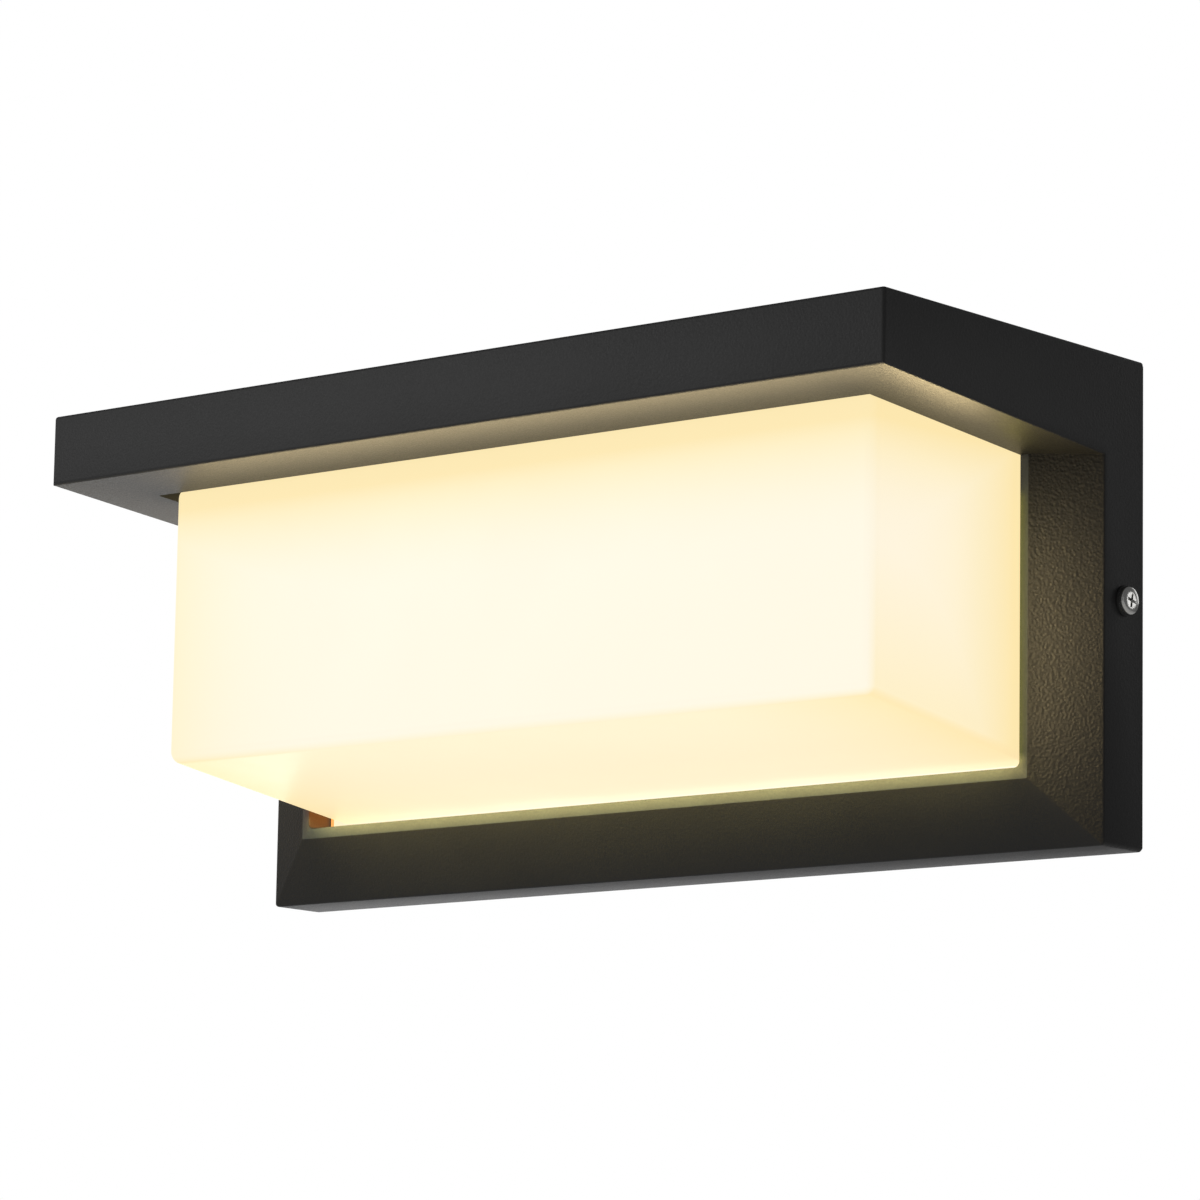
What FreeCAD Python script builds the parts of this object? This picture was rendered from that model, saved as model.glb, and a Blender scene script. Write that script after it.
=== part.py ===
import FreeCAD, Part
import math
import os

# Outdoor LED wall lantern: a die-cast housing with a deep canopy over an opal diffuser box, fixed to a
# steel wall bracket by one screw in each side. Units are mm. X runs along the wall, Y points into the
# wall, Z is up. The origin is the centre of the bracket's wall slots, on the wall plane, so the lantern
# stands out towards -Y.

# ---- driving sizes -----------------------------------------------------------------------------------

# Housing, outside
housing_width = 280.0
housing_height = 124.5
canopy_depth = 109.6           # wall plane to the canopy's front face
canopy_front_thickness = 18.9  # the underside rises towards the front
canopy_rear_thickness = 27.7
side_depth = 17.6              # wall plane to where the bevels start
rim_depth = 26.0               # wall plane to the narrow rim round the opening
bevel_inset = 17.4             # how far the side bevels run inwards
bevel_rise = 17.0              # how far the bottom bevel runs upwards
side_rim_width = 2.45
bottom_rim_width = 2.95
bottom_corner_radius = 1.2
top_corner_radius = 1.2
canopy_edge_radius = 1.6

# Housing, inside
wall_thickness = 3.0
top_thickness = 3.2
seal_compressed = 1.0          # foam between the housing's rear edge and the wall
cover_ledge_depth = 9.5        # wall plane to the ledge that the rear cover's gasket lies on
cover_ledge_width = 4.0
top_ledge_width = 3.1
seat_depth = 17.0              # wall plane to the face that the diffuser's gasket lies on
recess_front_depth = 88.8      # wall plane to the front of the recess in the canopy's underside
recess_ceiling_drop = 15.5     # top of the canopy down to the recess's ceiling
opening_corner_radius = 1.5
seal_land = 4.5                # width of the face that the diffuser's gasket lies on
pocket_clearance = 0.6
pocket_rib = 10.0
canopy_front_skin = 3.3
cheek_pocket_floor = 3.4
cheek_pocket_height = 8.0
boss_radius = 3.4

# Diffuser
diffuser_side_gap = 1.8        # opening's side to the diffuser's side
diffuser_depth = 84.6          # wall plane to the diffuser's front face
diffuser_bottom_gap = 3.5      # opening's floor to the diffuser's underside, at the rim
diffuser_bottom_rise = 8.2     # the underside rises by this from the rim to the front
diffuser_top_gap = 1.2
diffuser_top_fall = 1.2
diffuser_wall = 2.5
diffuser_flange = 2.5
diffuser_edge_radius = 3.0
gasket_thickness = 1.5
gasket_inset = 0.3

# LED tray: a raised pan inside the diffuser, with a flange that clamps the diffuser
sheet = 1.2
pan_side_gap = 7.5             # diffuser's inner side to the pan's side
pan_bottom_gap = 10.0
pan_top_gap = 4.5
pan_depth = 36.0               # wall plane to the pan's front face
tray_tab_radius = 4.6
tray_side_screw_low = 24.0     # height above the housing's bottom
tray_side_screw_drop = 33.5    # below the housing's top
tray_bottom_screw_height = 10.6
tray_bottom_screw_spacing = 90.0
tray_screw_bite = 4.2
bush_wall = 0.8                # rubber outside the LED leads
bush_lip = 1.2
bush_clearance = 0.1

# LED board
board_thickness = 1.6
board_side_margin = 22.0       # pan's side to the board's end
board_edge_margin = 6.825      # pan's floor and ceiling to the board's long edges
led_columns = 10
led_rows = 3
led_column_pitch = 16.0
led_row_pitch = 15.0
led_length = 3.5
led_width = 2.8
led_height = 0.7
board_screw_inset_x = 5.0
board_screw_inset_z = 5.0
board_corner_radius = 2.0
led_connector_length = 7.0
led_connector_width = 9.0
led_connector_height = 4.6
connector_edge_radius = 0.5
led_lead_loop = 9.0            # how far the LED leads rise in front of the board

# Driver
driver_length = 112.0
driver_width = 34.0
driver_height = 18.0
driver_wall = 1.6
driver_lid_thickness = 1.6
driver_foot = 9.0
driver_foot_thickness = 2.2
driver_corner_radius = 1.2
driver_lid_gap = 0.2
driver_board_thickness = 1.6
driver_board_standoff = 2.0
driver_board_gap = 0.4         # board's edge to the case's wall
driver_offset = -22.0          # driver's centre, left of the lantern's centre
driver_top_margin = 2.0        # pan's ceiling down to the driver
transformer_core = 16.0
transformer_height = 9.0
winding_width = 10.8
winding_inner = 3.4            # from the transformer's middle to the winding windows
winding_outer = 6.0
bobbin_length = 19.0
bobbin_width = 12.0
bobbin_thickness = 1.2
capacitor_radius = 5.0
capacitor_length = 14.0
capacitor_shift = 3.0          # cans' middle, below the driver's
input_capacitor_offset = 22.0
output_capacitor_offset = 24.0
film_offset = 32.0
film_thickness = 6.0
film_length = 13.0
film_height = 8.0
output_terminal_length = 6.0
input_terminal_length = 7.0
input_terminal_width = 5.2
driver_terminal_height = 7.0
driver_terminal_gap = 0.1

# Mains terminal block, cable clamp and earth point, in the lower part of the pan
terminal_pitch = 10.0
terminal_poles = 3
terminal_length = 32.0
terminal_width = 18.0
terminal_height = 13.0
terminal_offset = 74.0
terminal_bottom_margin = 2.5
terminal_edge_radius = 1.0
terminal_wire_drop = 1.0       # wire bores, nearer the pan than the block's middle
break_off_width = 1.2          # grooves between the poles
break_off_depth = 2.5
sleeve_radius = 2.4
sleeve_wall = 0.7
grub_radius = 1.3
grub_sink = 2.0
grub_slot_width = 0.5
grub_slot_depth = 0.8
clamp_length = 26.0
clamp_width = 8.0
clamp_leg = 4.6
clamp_thickness = 3.0
clamp_gap_margin = 1.0
clamp_edge_radius = 1.0
clamp_head_radius = 2.1
clamp_offset = 30.0
earth_offset = 96.0
earth_height_above_block = 30.0
earth_washer_radius = 4.2
earth_washer_thickness = 1.4
lug_ring_radius = 3.8
lug_tail_width = 4.4
lug_tail_length = 6.0          # from the ring's edge to the barrel's end
lug_barrel_wall = 0.7
lug_barrel_length = 4.0

# Leads
lead_radius = 1.0
lead_bend = 7.0
lead_entry = 3.0
lead_bend_share = 0.45         # most of a run that one bend may take
live_lead_rise = 1.5           # in lead bends
live_lead_shift = 0.2
earth_lead_slant = 2.0
led_lead_spacing = 4.4

# Rear cover
cover_thickness = 1.5
cover_gap = 0.4
cover_corner_screw_inset_x = 10.2   # from the housing's side
cover_corner_screw_low = 10.2
cover_corner_screw_drop = 11.5      # below the housing's top
cover_top_screw_offset = 60.0
cover_top_screw_drop = 7.3
cover_bottom_screw_offset = 45.0
cover_bottom_screw_height = 10.2
cover_screw_bite = 6.0
grommet_neck_radius = 7.0
grommet_lip = 2.2
grommet_lip_thickness = 2.0
cable_bore_radius = 3.5

# Wall bracket
bracket_thickness = 1.5
bracket_height = 44.0
bracket_lip = 3.4
bracket_slot_spacing = 150.0
bracket_slot_length = 16.0
bracket_slot_width = 5.2
bracket_cable_hole_radius = 12.0
bracket_window_length = 34.0
bracket_window_height = 14.0
bracket_window_radius = 2.0
bracket_edge_radius = 1.35
bracket_end_step = 21.0        # where the plate narrows to the ear's width
ear_side_gap = 0.3             # ear to the housing's side wall
ear_length = 12.5
ear_width = 22.0
ear_slot_clearance = 0.3
ear_tip_radius = 3.0

# Side fixing: one screw in each side, at mid height
side_screw_depth = 8.8         # wall plane to the screw's axis
side_screw_radius = 2.0
side_screw_length = 9.4
side_head_radius = 3.6
side_head_height = 1.6
side_washer_radius = 3.9
side_washer_thickness = 0.5
side_hole_clearance = 0.3
nut_size = 7.0
nut_thickness = 3.2
nut_gap = 0.1
nut_chamfer = 0.6
thread_clearance = 0.05
ear_pocket_depth = 14.0        # wall plane to the pocket's floor
ear_pocket_reach = 10.5        # housing's side to the pocket's inner wall
ear_pocket_side_gap = 2.0
ear_pocket_wall = 3.7
nut_rib = 1.4

# Small screws
small_screw_radius = 1.5
small_head_radius = 2.8
small_head_height = 1.9
small_hole_clearance = 0.2
cross_width = 0.22             # arms of a cross recess, as a share of the head's radius
cross_length = 0.62
cross_depth = 0.55             # depth as a share of the head's height
head_rounding = 0.45           # radius as a share of the head's height
tip_chamfer = 0.3              # as a share of the shank's radius

# ---- sizes that follow from them ---------------------------------------------------------------------

reach = 1.0                    # how far a cutter stands past the face that it cuts
bottom = -housing_height / 2
top = housing_height / 2
half_width = housing_width / 2
rear = -seal_compressed
rim_half_width = half_width - bevel_inset
opening_half_width = rim_half_width - side_rim_width
opening_bottom = bottom + bevel_rise + bottom_rim_width
opening_top = top - recess_ceiling_drop
canopy_front_underside = top - canopy_front_thickness
canopy_rear_underside = top - canopy_rear_thickness
inner_half_width = half_width - wall_thickness
inner_bottom = bottom + wall_thickness
inner_top = top - top_thickness
cavity_half_width = inner_half_width - cover_ledge_width
cavity_bottom = inner_bottom + cover_ledge_width
cavity_top = inner_top - top_ledge_width
flange_half_width = opening_half_width + seal_land
flange_bottom = opening_bottom - seal_land
flange_top = opening_top + seal_land
diffuser_half_width = opening_half_width - diffuser_side_gap
diffuser_bottom_at_rim = opening_bottom + diffuser_bottom_gap
diffuser_slope = diffuser_bottom_rise / (diffuser_depth - rim_depth)
diffuser_top_rear = opening_top - diffuser_top_gap
diffuser_top_front = diffuser_top_rear - diffuser_top_fall
flange_front = -(seat_depth - gasket_thickness)
flange_rear = flange_front + diffuser_flange
tray_rear = flange_rear + sheet
pan_half_width = diffuser_half_width - diffuser_wall - pan_side_gap
pan_bottom = diffuser_bottom_at_rim + diffuser_wall + pan_bottom_gap
pan_top = diffuser_top_front - diffuser_wall - pan_top_gap
pan_inside = -pan_depth + sheet
tray_screw_side = (flange_half_width + cavity_half_width) / 2
board_half_length = pan_half_width - board_side_margin
board_middle = (pan_bottom + pan_top) / 2
board_height = pan_top - pan_bottom - 2 * board_edge_margin
board_front = -pan_depth - board_thickness
driver_top = pan_top - sheet - driver_top_margin
driver_middle = driver_top - driver_width / 2
driver_rear = pan_inside + driver_height
terminal_bottom = pan_bottom + sheet + terminal_bottom_margin
terminal_top = terminal_bottom + terminal_width
cover_front = -cover_ledge_depth + gasket_thickness
cover_rear = cover_front + cover_thickness
ear_outer = inner_half_width - ear_side_gap
ear_inner = ear_outer - bracket_thickness
ear_slot_width = 2 * (side_screw_radius + ear_slot_clearance)
ear_pocket_inner = half_width - ear_pocket_reach
ear_pocket_half = ear_width / 2 + ear_pocket_side_gap
ear_block_inner = ear_pocket_inner - ear_pocket_wall
ear_block_half = ear_pocket_half + ear_pocket_wall
nut_outer = ear_inner - nut_gap
small_hole_radius = small_screw_radius + small_hole_clearance
tapped_hole_radius = small_screw_radius + thread_clearance


# ---- helpers -----------------------------------------------------------------------------------------

def point(x, y, z):
    return FreeCAD.Vector(x, y, z)


def box(x_low, x_high, y_low, y_high, z_low, z_high):
    return Part.makeBox(x_high - x_low, y_high - y_low, z_high - z_low, point(x_low, y_low, z_low))


def rod(radius, start, end):
    axis = end.sub(start)
    return Part.makeCylinder(radius, axis.Length, start, axis)


def fused(shapes):
    whole = shapes[0]
    for shape in shapes[1:]:
        whole = whole.fuse(shape)
    return whole.removeSplitter()


def cut_all(shape, cutters):
    for cutter in cutters:
        shape = shape.cut(cutter)
    return shape


def mirrored(shape):
    return shape.mirror(point(0, 0, 0), point(1, 0, 0))


def rectangle(half, z_low, z_high, y, low_radius=0.0, high_radius=0.0):
    """Closed outline in the plane at y, with its own radius at the lower and the upper corners."""
    corners = [
        (half, z_low, low_radius, 1, -1),
        (half, z_high, high_radius, 1, 1),
        (-half, z_high, high_radius, -1, 1),
        (-half, z_low, low_radius, -1, -1),
    ]
    edges = []
    last = None
    first = None
    for index, (x, z, radius, x_side, z_side) in enumerate(corners):
        before = point(x, y, z - z_side * radius)
        after = point(x - x_side * radius, y, z)
        if index % 2 == 0:
            before, after = after, before
        if last is None:
            first = before
        else:
            edges.append(Part.LineSegment(last, before).toShape())
        if radius > 0:
            bulge = radius * (1 - math.sqrt(0.5))
            middle = point(x - x_side * bulge, y, z - z_side * bulge)
            edges.append(Part.Arc(before, middle, after).toShape())
        last = after
    edges.append(Part.LineSegment(last, first).toShape())
    return Part.Wire(edges)


def slab(half, z_low, z_high, y_low, y_high, low_radius=0.0, high_radius=0.0):
    face = Part.Face(rectangle(half, z_low, z_high, y_low, low_radius, high_radius))
    return face.extrude(point(0, y_high - y_low, 0))


def side_profile(outline, half):
    """Solid from an outline of (y, z) points, running from -half to half along X."""
    points = [point(-half, y, z) for y, z in outline]
    face = Part.Face(Part.makePolygon(points + points[:1]))
    return face.extrude(point(2 * half, 0, 0))


def edges_where(shape, wanted):
    return [edge for edge in shape.Edges if wanted(edge.BoundBox)]


def near(value, target):
    return abs(value - target) < 0.01


def underside_at(y):
    share = -y / canopy_depth
    return canopy_rear_underside + share * (canopy_front_underside - canopy_rear_underside)


def diffuser_bottom_at(y):
    return diffuser_bottom_at_rim + diffuser_slope * (-y - rim_depth)


def diffuser_top_at(y):
    share = (-y - seat_depth) / (diffuser_depth - seat_depth)
    return diffuser_top_rear - share * diffuser_top_fall


def screw(head_radius, head_height, shank_radius, length, seat, direction):
    """Pan head screw: the head stands from seat along direction, and the shank runs the other way."""
    head = Part.makeCylinder(head_radius, head_height)
    rim = edges_where(head, lambda b: near(b.ZMin, head_height) and near(b.ZMax, head_height))
    head = head.makeFillet(head_rounding * head_height, rim)
    arm = cross_length * head_radius
    half_arm = cross_width * head_radius / 2
    floor = head_height * (1 - cross_depth)
    for turn in (0, 90):
        slot = box(-arm, arm, -half_arm, half_arm, floor, head_height + reach)
        slot.rotate(point(0, 0, 0), point(0, 0, 1), turn)
        head = head.cut(slot)
    shank = Part.makeCylinder(shank_radius, length, point(0, 0, -length))
    tip = edges_where(shank, lambda b: near(b.ZMin, -length) and near(b.ZMax, -length))
    shank = shank.makeChamfer(tip_chamfer * shank_radius, tip)
    whole = head.fuse(shank)
    whole.Placement = FreeCAD.Placement(seat, FreeCAD.Rotation(point(0, 0, 1), direction))
    return whole


def small_screw(x, y, z, length, direction):
    return screw(small_head_radius, small_head_height, small_screw_radius, length, point(x, y, z), direction)


def lead(points):
    """Round lead along straight runs joined by tangent arcs of the lead's bend radius."""
    edges = []
    start = points[0]
    for before, corner, after in zip(points, points[1:], points[2:]):
        inward = before.sub(corner).normalize()
        outward = after.sub(corner).normalize()
        half_turn = (math.pi - inward.getAngle(outward)) / 2
        run = min(before.distanceToPoint(corner), corner.distanceToPoint(after))
        radius = min(lead_bend, lead_bend_share * run / math.tan(half_turn))
        back = radius * math.tan(half_turn)
        arc_start = corner.add(inward * back)
        arc_end = corner.add(outward * back)
        to_centre = inward.add(outward).normalize()
        middle = corner.add(to_centre * (radius / math.cos(half_turn) - radius))
        edges.append(Part.LineSegment(start, arc_start).toShape())
        edges.append(Part.Arc(arc_start, middle, arc_end).toShape())
        start = arc_end
    edges.append(Part.LineSegment(start, points[-1]).toShape())
    path = Part.Wire(edges)
    along = points[1].sub(points[0])
    ring = Part.Wire([Part.makeCircle(lead_radius, points[0], along)])
    tube = path.makePipeShell([ring], True, True)
    section = math.pi * lead_radius ** 2
    ratio = tube.Volume / section / path.Length
    print("lead: length", round(path.Length, 1), "volume ratio", round(ratio, 4))
    return tube


# ---- places shared by several pieces -----------------------------------------------------------------

def tray_screw_places():
    sides = []
    for height in (bottom + tray_side_screw_low, top - tray_side_screw_drop):
        sides += [(-tray_screw_side, height), (tray_screw_side, height)]
    low = [(step * tray_bottom_screw_spacing, bottom + tray_bottom_screw_height) for step in (-1, 0, 1)]
    return sides + low


def cover_screw_places():
    places = []
    for side in (-1, 1):
        corner = side * (half_width - cover_corner_screw_inset_x)
        places.append((corner, bottom + cover_corner_screw_low))
        places.append((corner, top - cover_corner_screw_drop))
        places.append((side * cover_top_screw_offset, top - cover_top_screw_drop))
        places.append((side * cover_bottom_screw_offset, bottom + cover_bottom_screw_height))
    return places


def board_screw_places():
    x = board_half_length - board_screw_inset_x
    z = board_height / 2 - board_screw_inset_z
    return [(-x, board_middle - z), (x, board_middle - z), (-x, board_middle + z), (x, board_middle + z)]


def driver_screw_places():
    x = driver_length / 2 - driver_foot / 2
    return [(driver_offset - x, driver_middle), (driver_offset + x, driver_middle)]


def terminal_places():
    first = terminal_offset - terminal_pitch * (terminal_poles - 1) / 2
    return [first + index * terminal_pitch for index in range(terminal_poles)]


def clamp_screw_places():
    x = clamp_length / 2 - clamp_leg / 2
    return [clamp_offset - x, clamp_offset + x]


def earth_place():
    return earth_offset, terminal_bottom + earth_height_above_block


def grommet_place():
    x = -(board_half_length + pan_half_width) / 2
    return x, driver_middle


# ---- housing -----------------------------------------------------------------------------------------

def housing_outside():
    inside_canopy = canopy_rear_underside + canopy_front_thickness / 2
    canopy = side_profile([
        (rear, top),
        (-canopy_depth, top),
        (-canopy_depth, canopy_front_underside),
        (rear, underside_at(rear)),
    ], half_width)
    back_box = box(-half_width, half_width, -side_depth, rear, bottom, inside_canopy)
    trim = slab(half_width, bottom, top, -canopy_depth, rear, bottom_corner_radius, top_corner_radius)
    block = canopy.fuse(back_box).common(trim)
    wide = rectangle(half_width, bottom, inside_canopy, -side_depth, bottom_corner_radius)
    narrow = rectangle(rim_half_width, bottom + bevel_rise, inside_canopy, -rim_depth,
                       bottom_corner_radius / 2)
    bevels = Part.makeLoft([wide, narrow], True, True)
    canopy_front = edges_where(block, lambda b: near(b.YMin, -canopy_depth) and near(b.YMax, -canopy_depth))
    block = block.makeFillet(canopy_edge_radius, canopy_front)
    return block.fuse(bevels).removeSplitter()


def ear_pocket(side):
    pocket = box(ear_pocket_inner, inner_half_width, -ear_pocket_depth, rear + reach,
                 -ear_pocket_half, ear_pocket_half)
    return pocket if side > 0 else mirrored(pocket)


def rear_recess():
    return slab(inner_half_width, inner_bottom, inner_top, -cover_ledge_depth, rear + reach,
                bottom_corner_radius / 2, top_corner_radius / 2)


def main_cavity():
    cavity = slab(cavity_half_width, cavity_bottom, cavity_top, -seat_depth, -cover_ledge_depth + reach / 2)
    for side in (-1, 1):
        block = box(ear_block_inner, half_width, -seat_depth - reach, 0, -ear_block_half, ear_block_half)
        cavity = cavity.cut(block if side > 0 else mirrored(block))
    return cavity


def opening_and_recess():
    return slab(opening_half_width, opening_bottom, opening_top, -recess_front_depth, -seat_depth + reach / 2,
                opening_corner_radius, opening_corner_radius)


def canopy_pockets():
    """Cores that run forwards inside the canopy from the gasket's face, to keep its walls even."""
    front = -(canopy_depth - canopy_front_skin)
    mouth = -seat_depth + reach / 2
    floor = flange_top + pocket_clearance
    rib = pocket_rib / 2
    edge = opening_half_width
    gaps = [
        (-edge, -cover_top_screw_offset - rib),
        (-cover_top_screw_offset + rib, cover_top_screw_offset - rib),
        (cover_top_screw_offset + rib, edge),
    ]
    cores = [box(low, high, front, mouth, floor, cavity_top) for low, high in gaps]
    cheek_low = canopy_front_underside + cheek_pocket_floor
    cheek = box(flange_half_width + pocket_clearance, cavity_half_width, front, mouth,
                cheek_low - cheek_pocket_height / 2, cheek_low + cheek_pocket_height / 2)
    lift = side_profile([
        (reach, underside_at(reach) + cheek_pocket_floor),
        (-canopy_depth, canopy_front_underside + cheek_pocket_floor),
        (-canopy_depth, top),
        (reach, top),
    ], half_width)
    cheek = cheek.common(lift)
    return cores + [cheek, mirrored(cheek)]


def housing_bosses():
    """Bosses on the gasket's face, and the ribs that keep each nut from turning."""
    shapes = []
    for x, z in tray_screw_places():
        shapes.append(rod(boss_radius, point(x, -seat_depth - reach, z), point(x, flange_rear, z)))
    for x, z in cover_screw_places():
        shapes.append(rod(boss_radius, point(x, -seat_depth - reach, z), point(x, -cover_ledge_depth, z)))
    rib_low = nut_size / 2 + nut_gap
    for z_side in (-1, 1):
        low, high = sorted((z_side * rib_low, z_side * (rib_low + nut_rib)))
        rib = box(ear_pocket_inner, nut_outer - nut_gap, -ear_pocket_depth - reach, cover_rear, low, high)
        shapes += [rib, mirrored(rib)]
    return shapes


def housing_holes():
    cutters = []
    for x, z in tray_screw_places():
        floor = flange_rear - tray_screw_bite - thread_clearance
        cutters.append(rod(tapped_hole_radius, point(x, floor, z), point(x, 0, z)))
    for x, z in cover_screw_places():
        cutters.append(rod(tapped_hole_radius, point(x, -seat_depth, z), point(x, 0, z)))
    hole = side_screw_radius + side_hole_clearance
    for side in (-1, 1):
        start = point(side * (inner_half_width - reach), -side_screw_depth, 0)
        cutters.append(rod(hole, start, point(side * (half_width + reach), -side_screw_depth, 0)))
    return cutters


def housing():
    shape = housing_outside()
    shape = cut_all(shape, [rear_recess(), main_cavity(), opening_and_recess()] + canopy_pockets())
    shape = cut_all(shape, [ear_pocket(-1), ear_pocket(1)])
    shape = fused([shape] + housing_bosses())
    return cut_all(shape, housing_holes())


def wall_seal():
    inset = wall_thickness / 6
    outer = slab(half_width - inset, bottom + inset, top - inset, rear, 0,
                 bottom_corner_radius - inset, top_corner_radius - inset)
    inner = slab(inner_half_width, inner_bottom, inner_top, rear - reach, reach,
                 bottom_corner_radius / 2, top_corner_radius / 2)
    return outer.cut(inner)


# ---- diffuser and its gasket -------------------------------------------------------------------------

def diffuser_box(inset, rear_y, front_y):
    """The box's outer skin, or its hollow when inset is the wall's thickness."""
    outline = [
        (rear_y, diffuser_bottom_at(rear_y) + inset),
        (front_y, diffuser_bottom_at(front_y) + inset),
        (front_y, diffuser_top_at(front_y) - inset),
        (rear_y, diffuser_top_at(rear_y) - inset),
    ]
    shape = side_profile(outline, diffuser_half_width - inset)
    front_edges = edges_where(shape, lambda b: near(b.YMin, front_y) and near(b.YMax, front_y))
    long_edges = edges_where(shape, lambda b: near(b.YMin, front_y) and near(b.YMax, rear_y))
    radius = diffuser_edge_radius - inset / 2
    return shape.makeFillet(radius, front_edges + long_edges)


def diffuser():
    skin = diffuser_box(0, flange_rear, -diffuser_depth)
    flange = slab(flange_half_width, flange_bottom, flange_top, flange_front, flange_rear,
                  opening_corner_radius, opening_corner_radius)
    hollow = diffuser_box(diffuser_wall, flange_rear + reach, -diffuser_depth + diffuser_wall)
    return fused([skin, flange]).cut(hollow)


def diffuser_gasket():
    outer = slab(flange_half_width, flange_bottom, flange_top, -seat_depth, flange_front,
                 opening_corner_radius, opening_corner_radius)
    inner = slab(opening_half_width + gasket_inset, opening_bottom - gasket_inset, opening_top + gasket_inset,
                 -seat_depth - reach, flange_front + reach, opening_corner_radius, opening_corner_radius)
    return outer.cut(inner)


# ---- LED tray and board ------------------------------------------------------------------------------

def led_tray():
    flange = slab(flange_half_width, flange_bottom, flange_top, flange_rear, tray_rear,
                  opening_corner_radius, opening_corner_radius)
    tabs = []
    for x, z in tray_screw_places():
        inner_x = max(-pan_half_width, min(pan_half_width, x))
        inner_z = max(pan_bottom, min(pan_top, z))
        tabs.append(rod(tray_tab_radius, point(x, flange_rear, z), point(x, tray_rear, z)))
        if near(abs(x), tray_screw_side):
            tabs.append(box(min(x, inner_x), max(x, inner_x), flange_rear, tray_rear,
                            z - tray_tab_radius, z + tray_tab_radius))
        else:
            tabs.append(box(x - tray_tab_radius, x + tray_tab_radius, flange_rear, tray_rear,
                            min(z, inner_z), max(z, inner_z)))
    limit = slab(cavity_half_width - cover_gap, cavity_bottom + cover_gap, cavity_top, flange_rear, tray_rear)
    plate = fused([flange] + tabs).common(limit)
    pan = slab(pan_half_width, pan_bottom, pan_top, -pan_depth, tray_rear)
    edges = edges_where(pan, lambda b: near(b.YMin, -pan_depth) and near(b.YMax, -pan_depth))
    corners = edges_where(pan, lambda b: b.YLength > pan_depth / 2)
    pan = pan.makeFillet(2 * sheet, edges + corners)
    hollow = slab(pan_half_width - sheet, pan_bottom + sheet, pan_top - sheet, pan_inside, tray_rear + reach)
    corners = edges_where(hollow, lambda b: b.YLength > pan_depth / 2)
    edges = edges_where(hollow, lambda b: near(b.YMin, pan_inside) and near(b.YMax, pan_inside))
    hollow = hollow.makeFillet(sheet, edges + corners)
    shape = fused([plate, pan]).cut(hollow)
    cutters = []
    for x, z in tray_screw_places():
        cutters.append(rod(small_hole_radius, point(x, flange_rear - reach, z),
                           point(x, tray_rear + reach, z)))
    fixings = board_screw_places() + driver_screw_places()
    fixings += [(x, terminal_bottom + terminal_width / 2) for x in clamp_screw_places()]
    fixings += [(terminal_offset - terminal_pitch / 2, terminal_bottom + terminal_width / 2), earth_place()]
    for x, z in fixings:
        cutters.append(rod(tapped_hole_radius, point(x, -pan_depth - reach, z),
                           point(x, pan_inside + reach, z)))
    x, z = grommet_place()
    cutters.append(rod(tray_bush_neck(), point(x, -pan_depth - reach, z), point(x, pan_inside + reach, z)))
    return cut_all(shape, cutters)


def tray_screws():
    length = sheet + tray_screw_bite
    screws = [small_screw(x, tray_rear, z, length, point(0, 1, 0)) for x, z in tray_screw_places()]
    return Part.makeCompound(screws)


def led_board():
    shape = slab(board_half_length, board_middle - board_height / 2, board_middle + board_height / 2,
                 board_front, -pan_depth, board_corner_radius, board_corner_radius)
    cutters = [rod(small_hole_radius, point(x, board_front - reach, z), point(x, 0, z))
               for x, z in board_screw_places()]
    return cut_all(shape, cutters)


def led_packages():
    packages = []
    for row in range(led_rows):
        z = board_middle + (row - (led_rows - 1) / 2) * led_row_pitch
        for column in range(led_columns):
            x = (column - (led_columns - 1) / 2) * led_column_pitch
            packages.append(box(x - led_length / 2, x + led_length / 2, board_front - led_height, board_front,
                                z - led_width / 2, z + led_width / 2))
    return Part.makeCompound(packages)


def led_board_screws():
    length = board_thickness + sheet
    screws = [small_screw(x, board_front, z, length, point(0, -1, 0)) for x, z in board_screw_places()]
    return Part.makeCompound(screws)


def led_connector_place():
    return -board_half_length + board_screw_inset_x / 2 + led_connector_length / 2


def led_connector():
    half_length = led_connector_length / 2
    half_width = led_connector_width / 2
    x = led_connector_place()
    front = board_front - led_connector_height
    shape = box(x - half_length, x + half_length, front, board_front,
                driver_middle - half_width, driver_middle + half_width)
    edges = edges_where(shape, lambda b: near(b.YMin, front) and near(b.YMax, front))
    shape = shape.makeFillet(connector_edge_radius, edges)
    mouths = [rod(lead_radius, point(x, front - reach, z), point(x, front + lead_entry, z))
              for z in led_lead_heights()]
    return cut_all(shape, mouths)


def led_lead_heights():
    return [driver_middle - led_lead_spacing / 2, driver_middle + led_lead_spacing / 2]


def tray_bush_neck():
    return led_lead_spacing / 2 + 2 * lead_radius + bush_wall


def tray_bush():
    """Rubber bush that the LED leads pass through, gripping the tray's sheet in a groove."""
    x, z = grommet_place()
    neck = tray_bush_neck()
    shape = fused([
        rod(neck, point(x, -pan_depth, z), point(x, pan_inside, z)),
        rod(neck + bush_lip, point(x, -pan_depth - bush_lip, z), point(x, -pan_depth, z)),
        rod(neck + bush_lip, point(x, pan_inside, z), point(x, pan_inside + bush_lip, z)),
    ])
    for height in led_lead_heights():
        hole = rod(lead_radius + bush_clearance, point(x, -pan_depth - bush_lip - reach, height),
                   point(x, pan_inside + bush_lip + reach, height))
        shape = shape.cut(hole)
    return shape


# ---- driver ------------------------------------------------------------------------------------------

def driver_body_ends():
    half = driver_length / 2 - driver_foot
    return driver_offset - half, driver_offset + half


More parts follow.
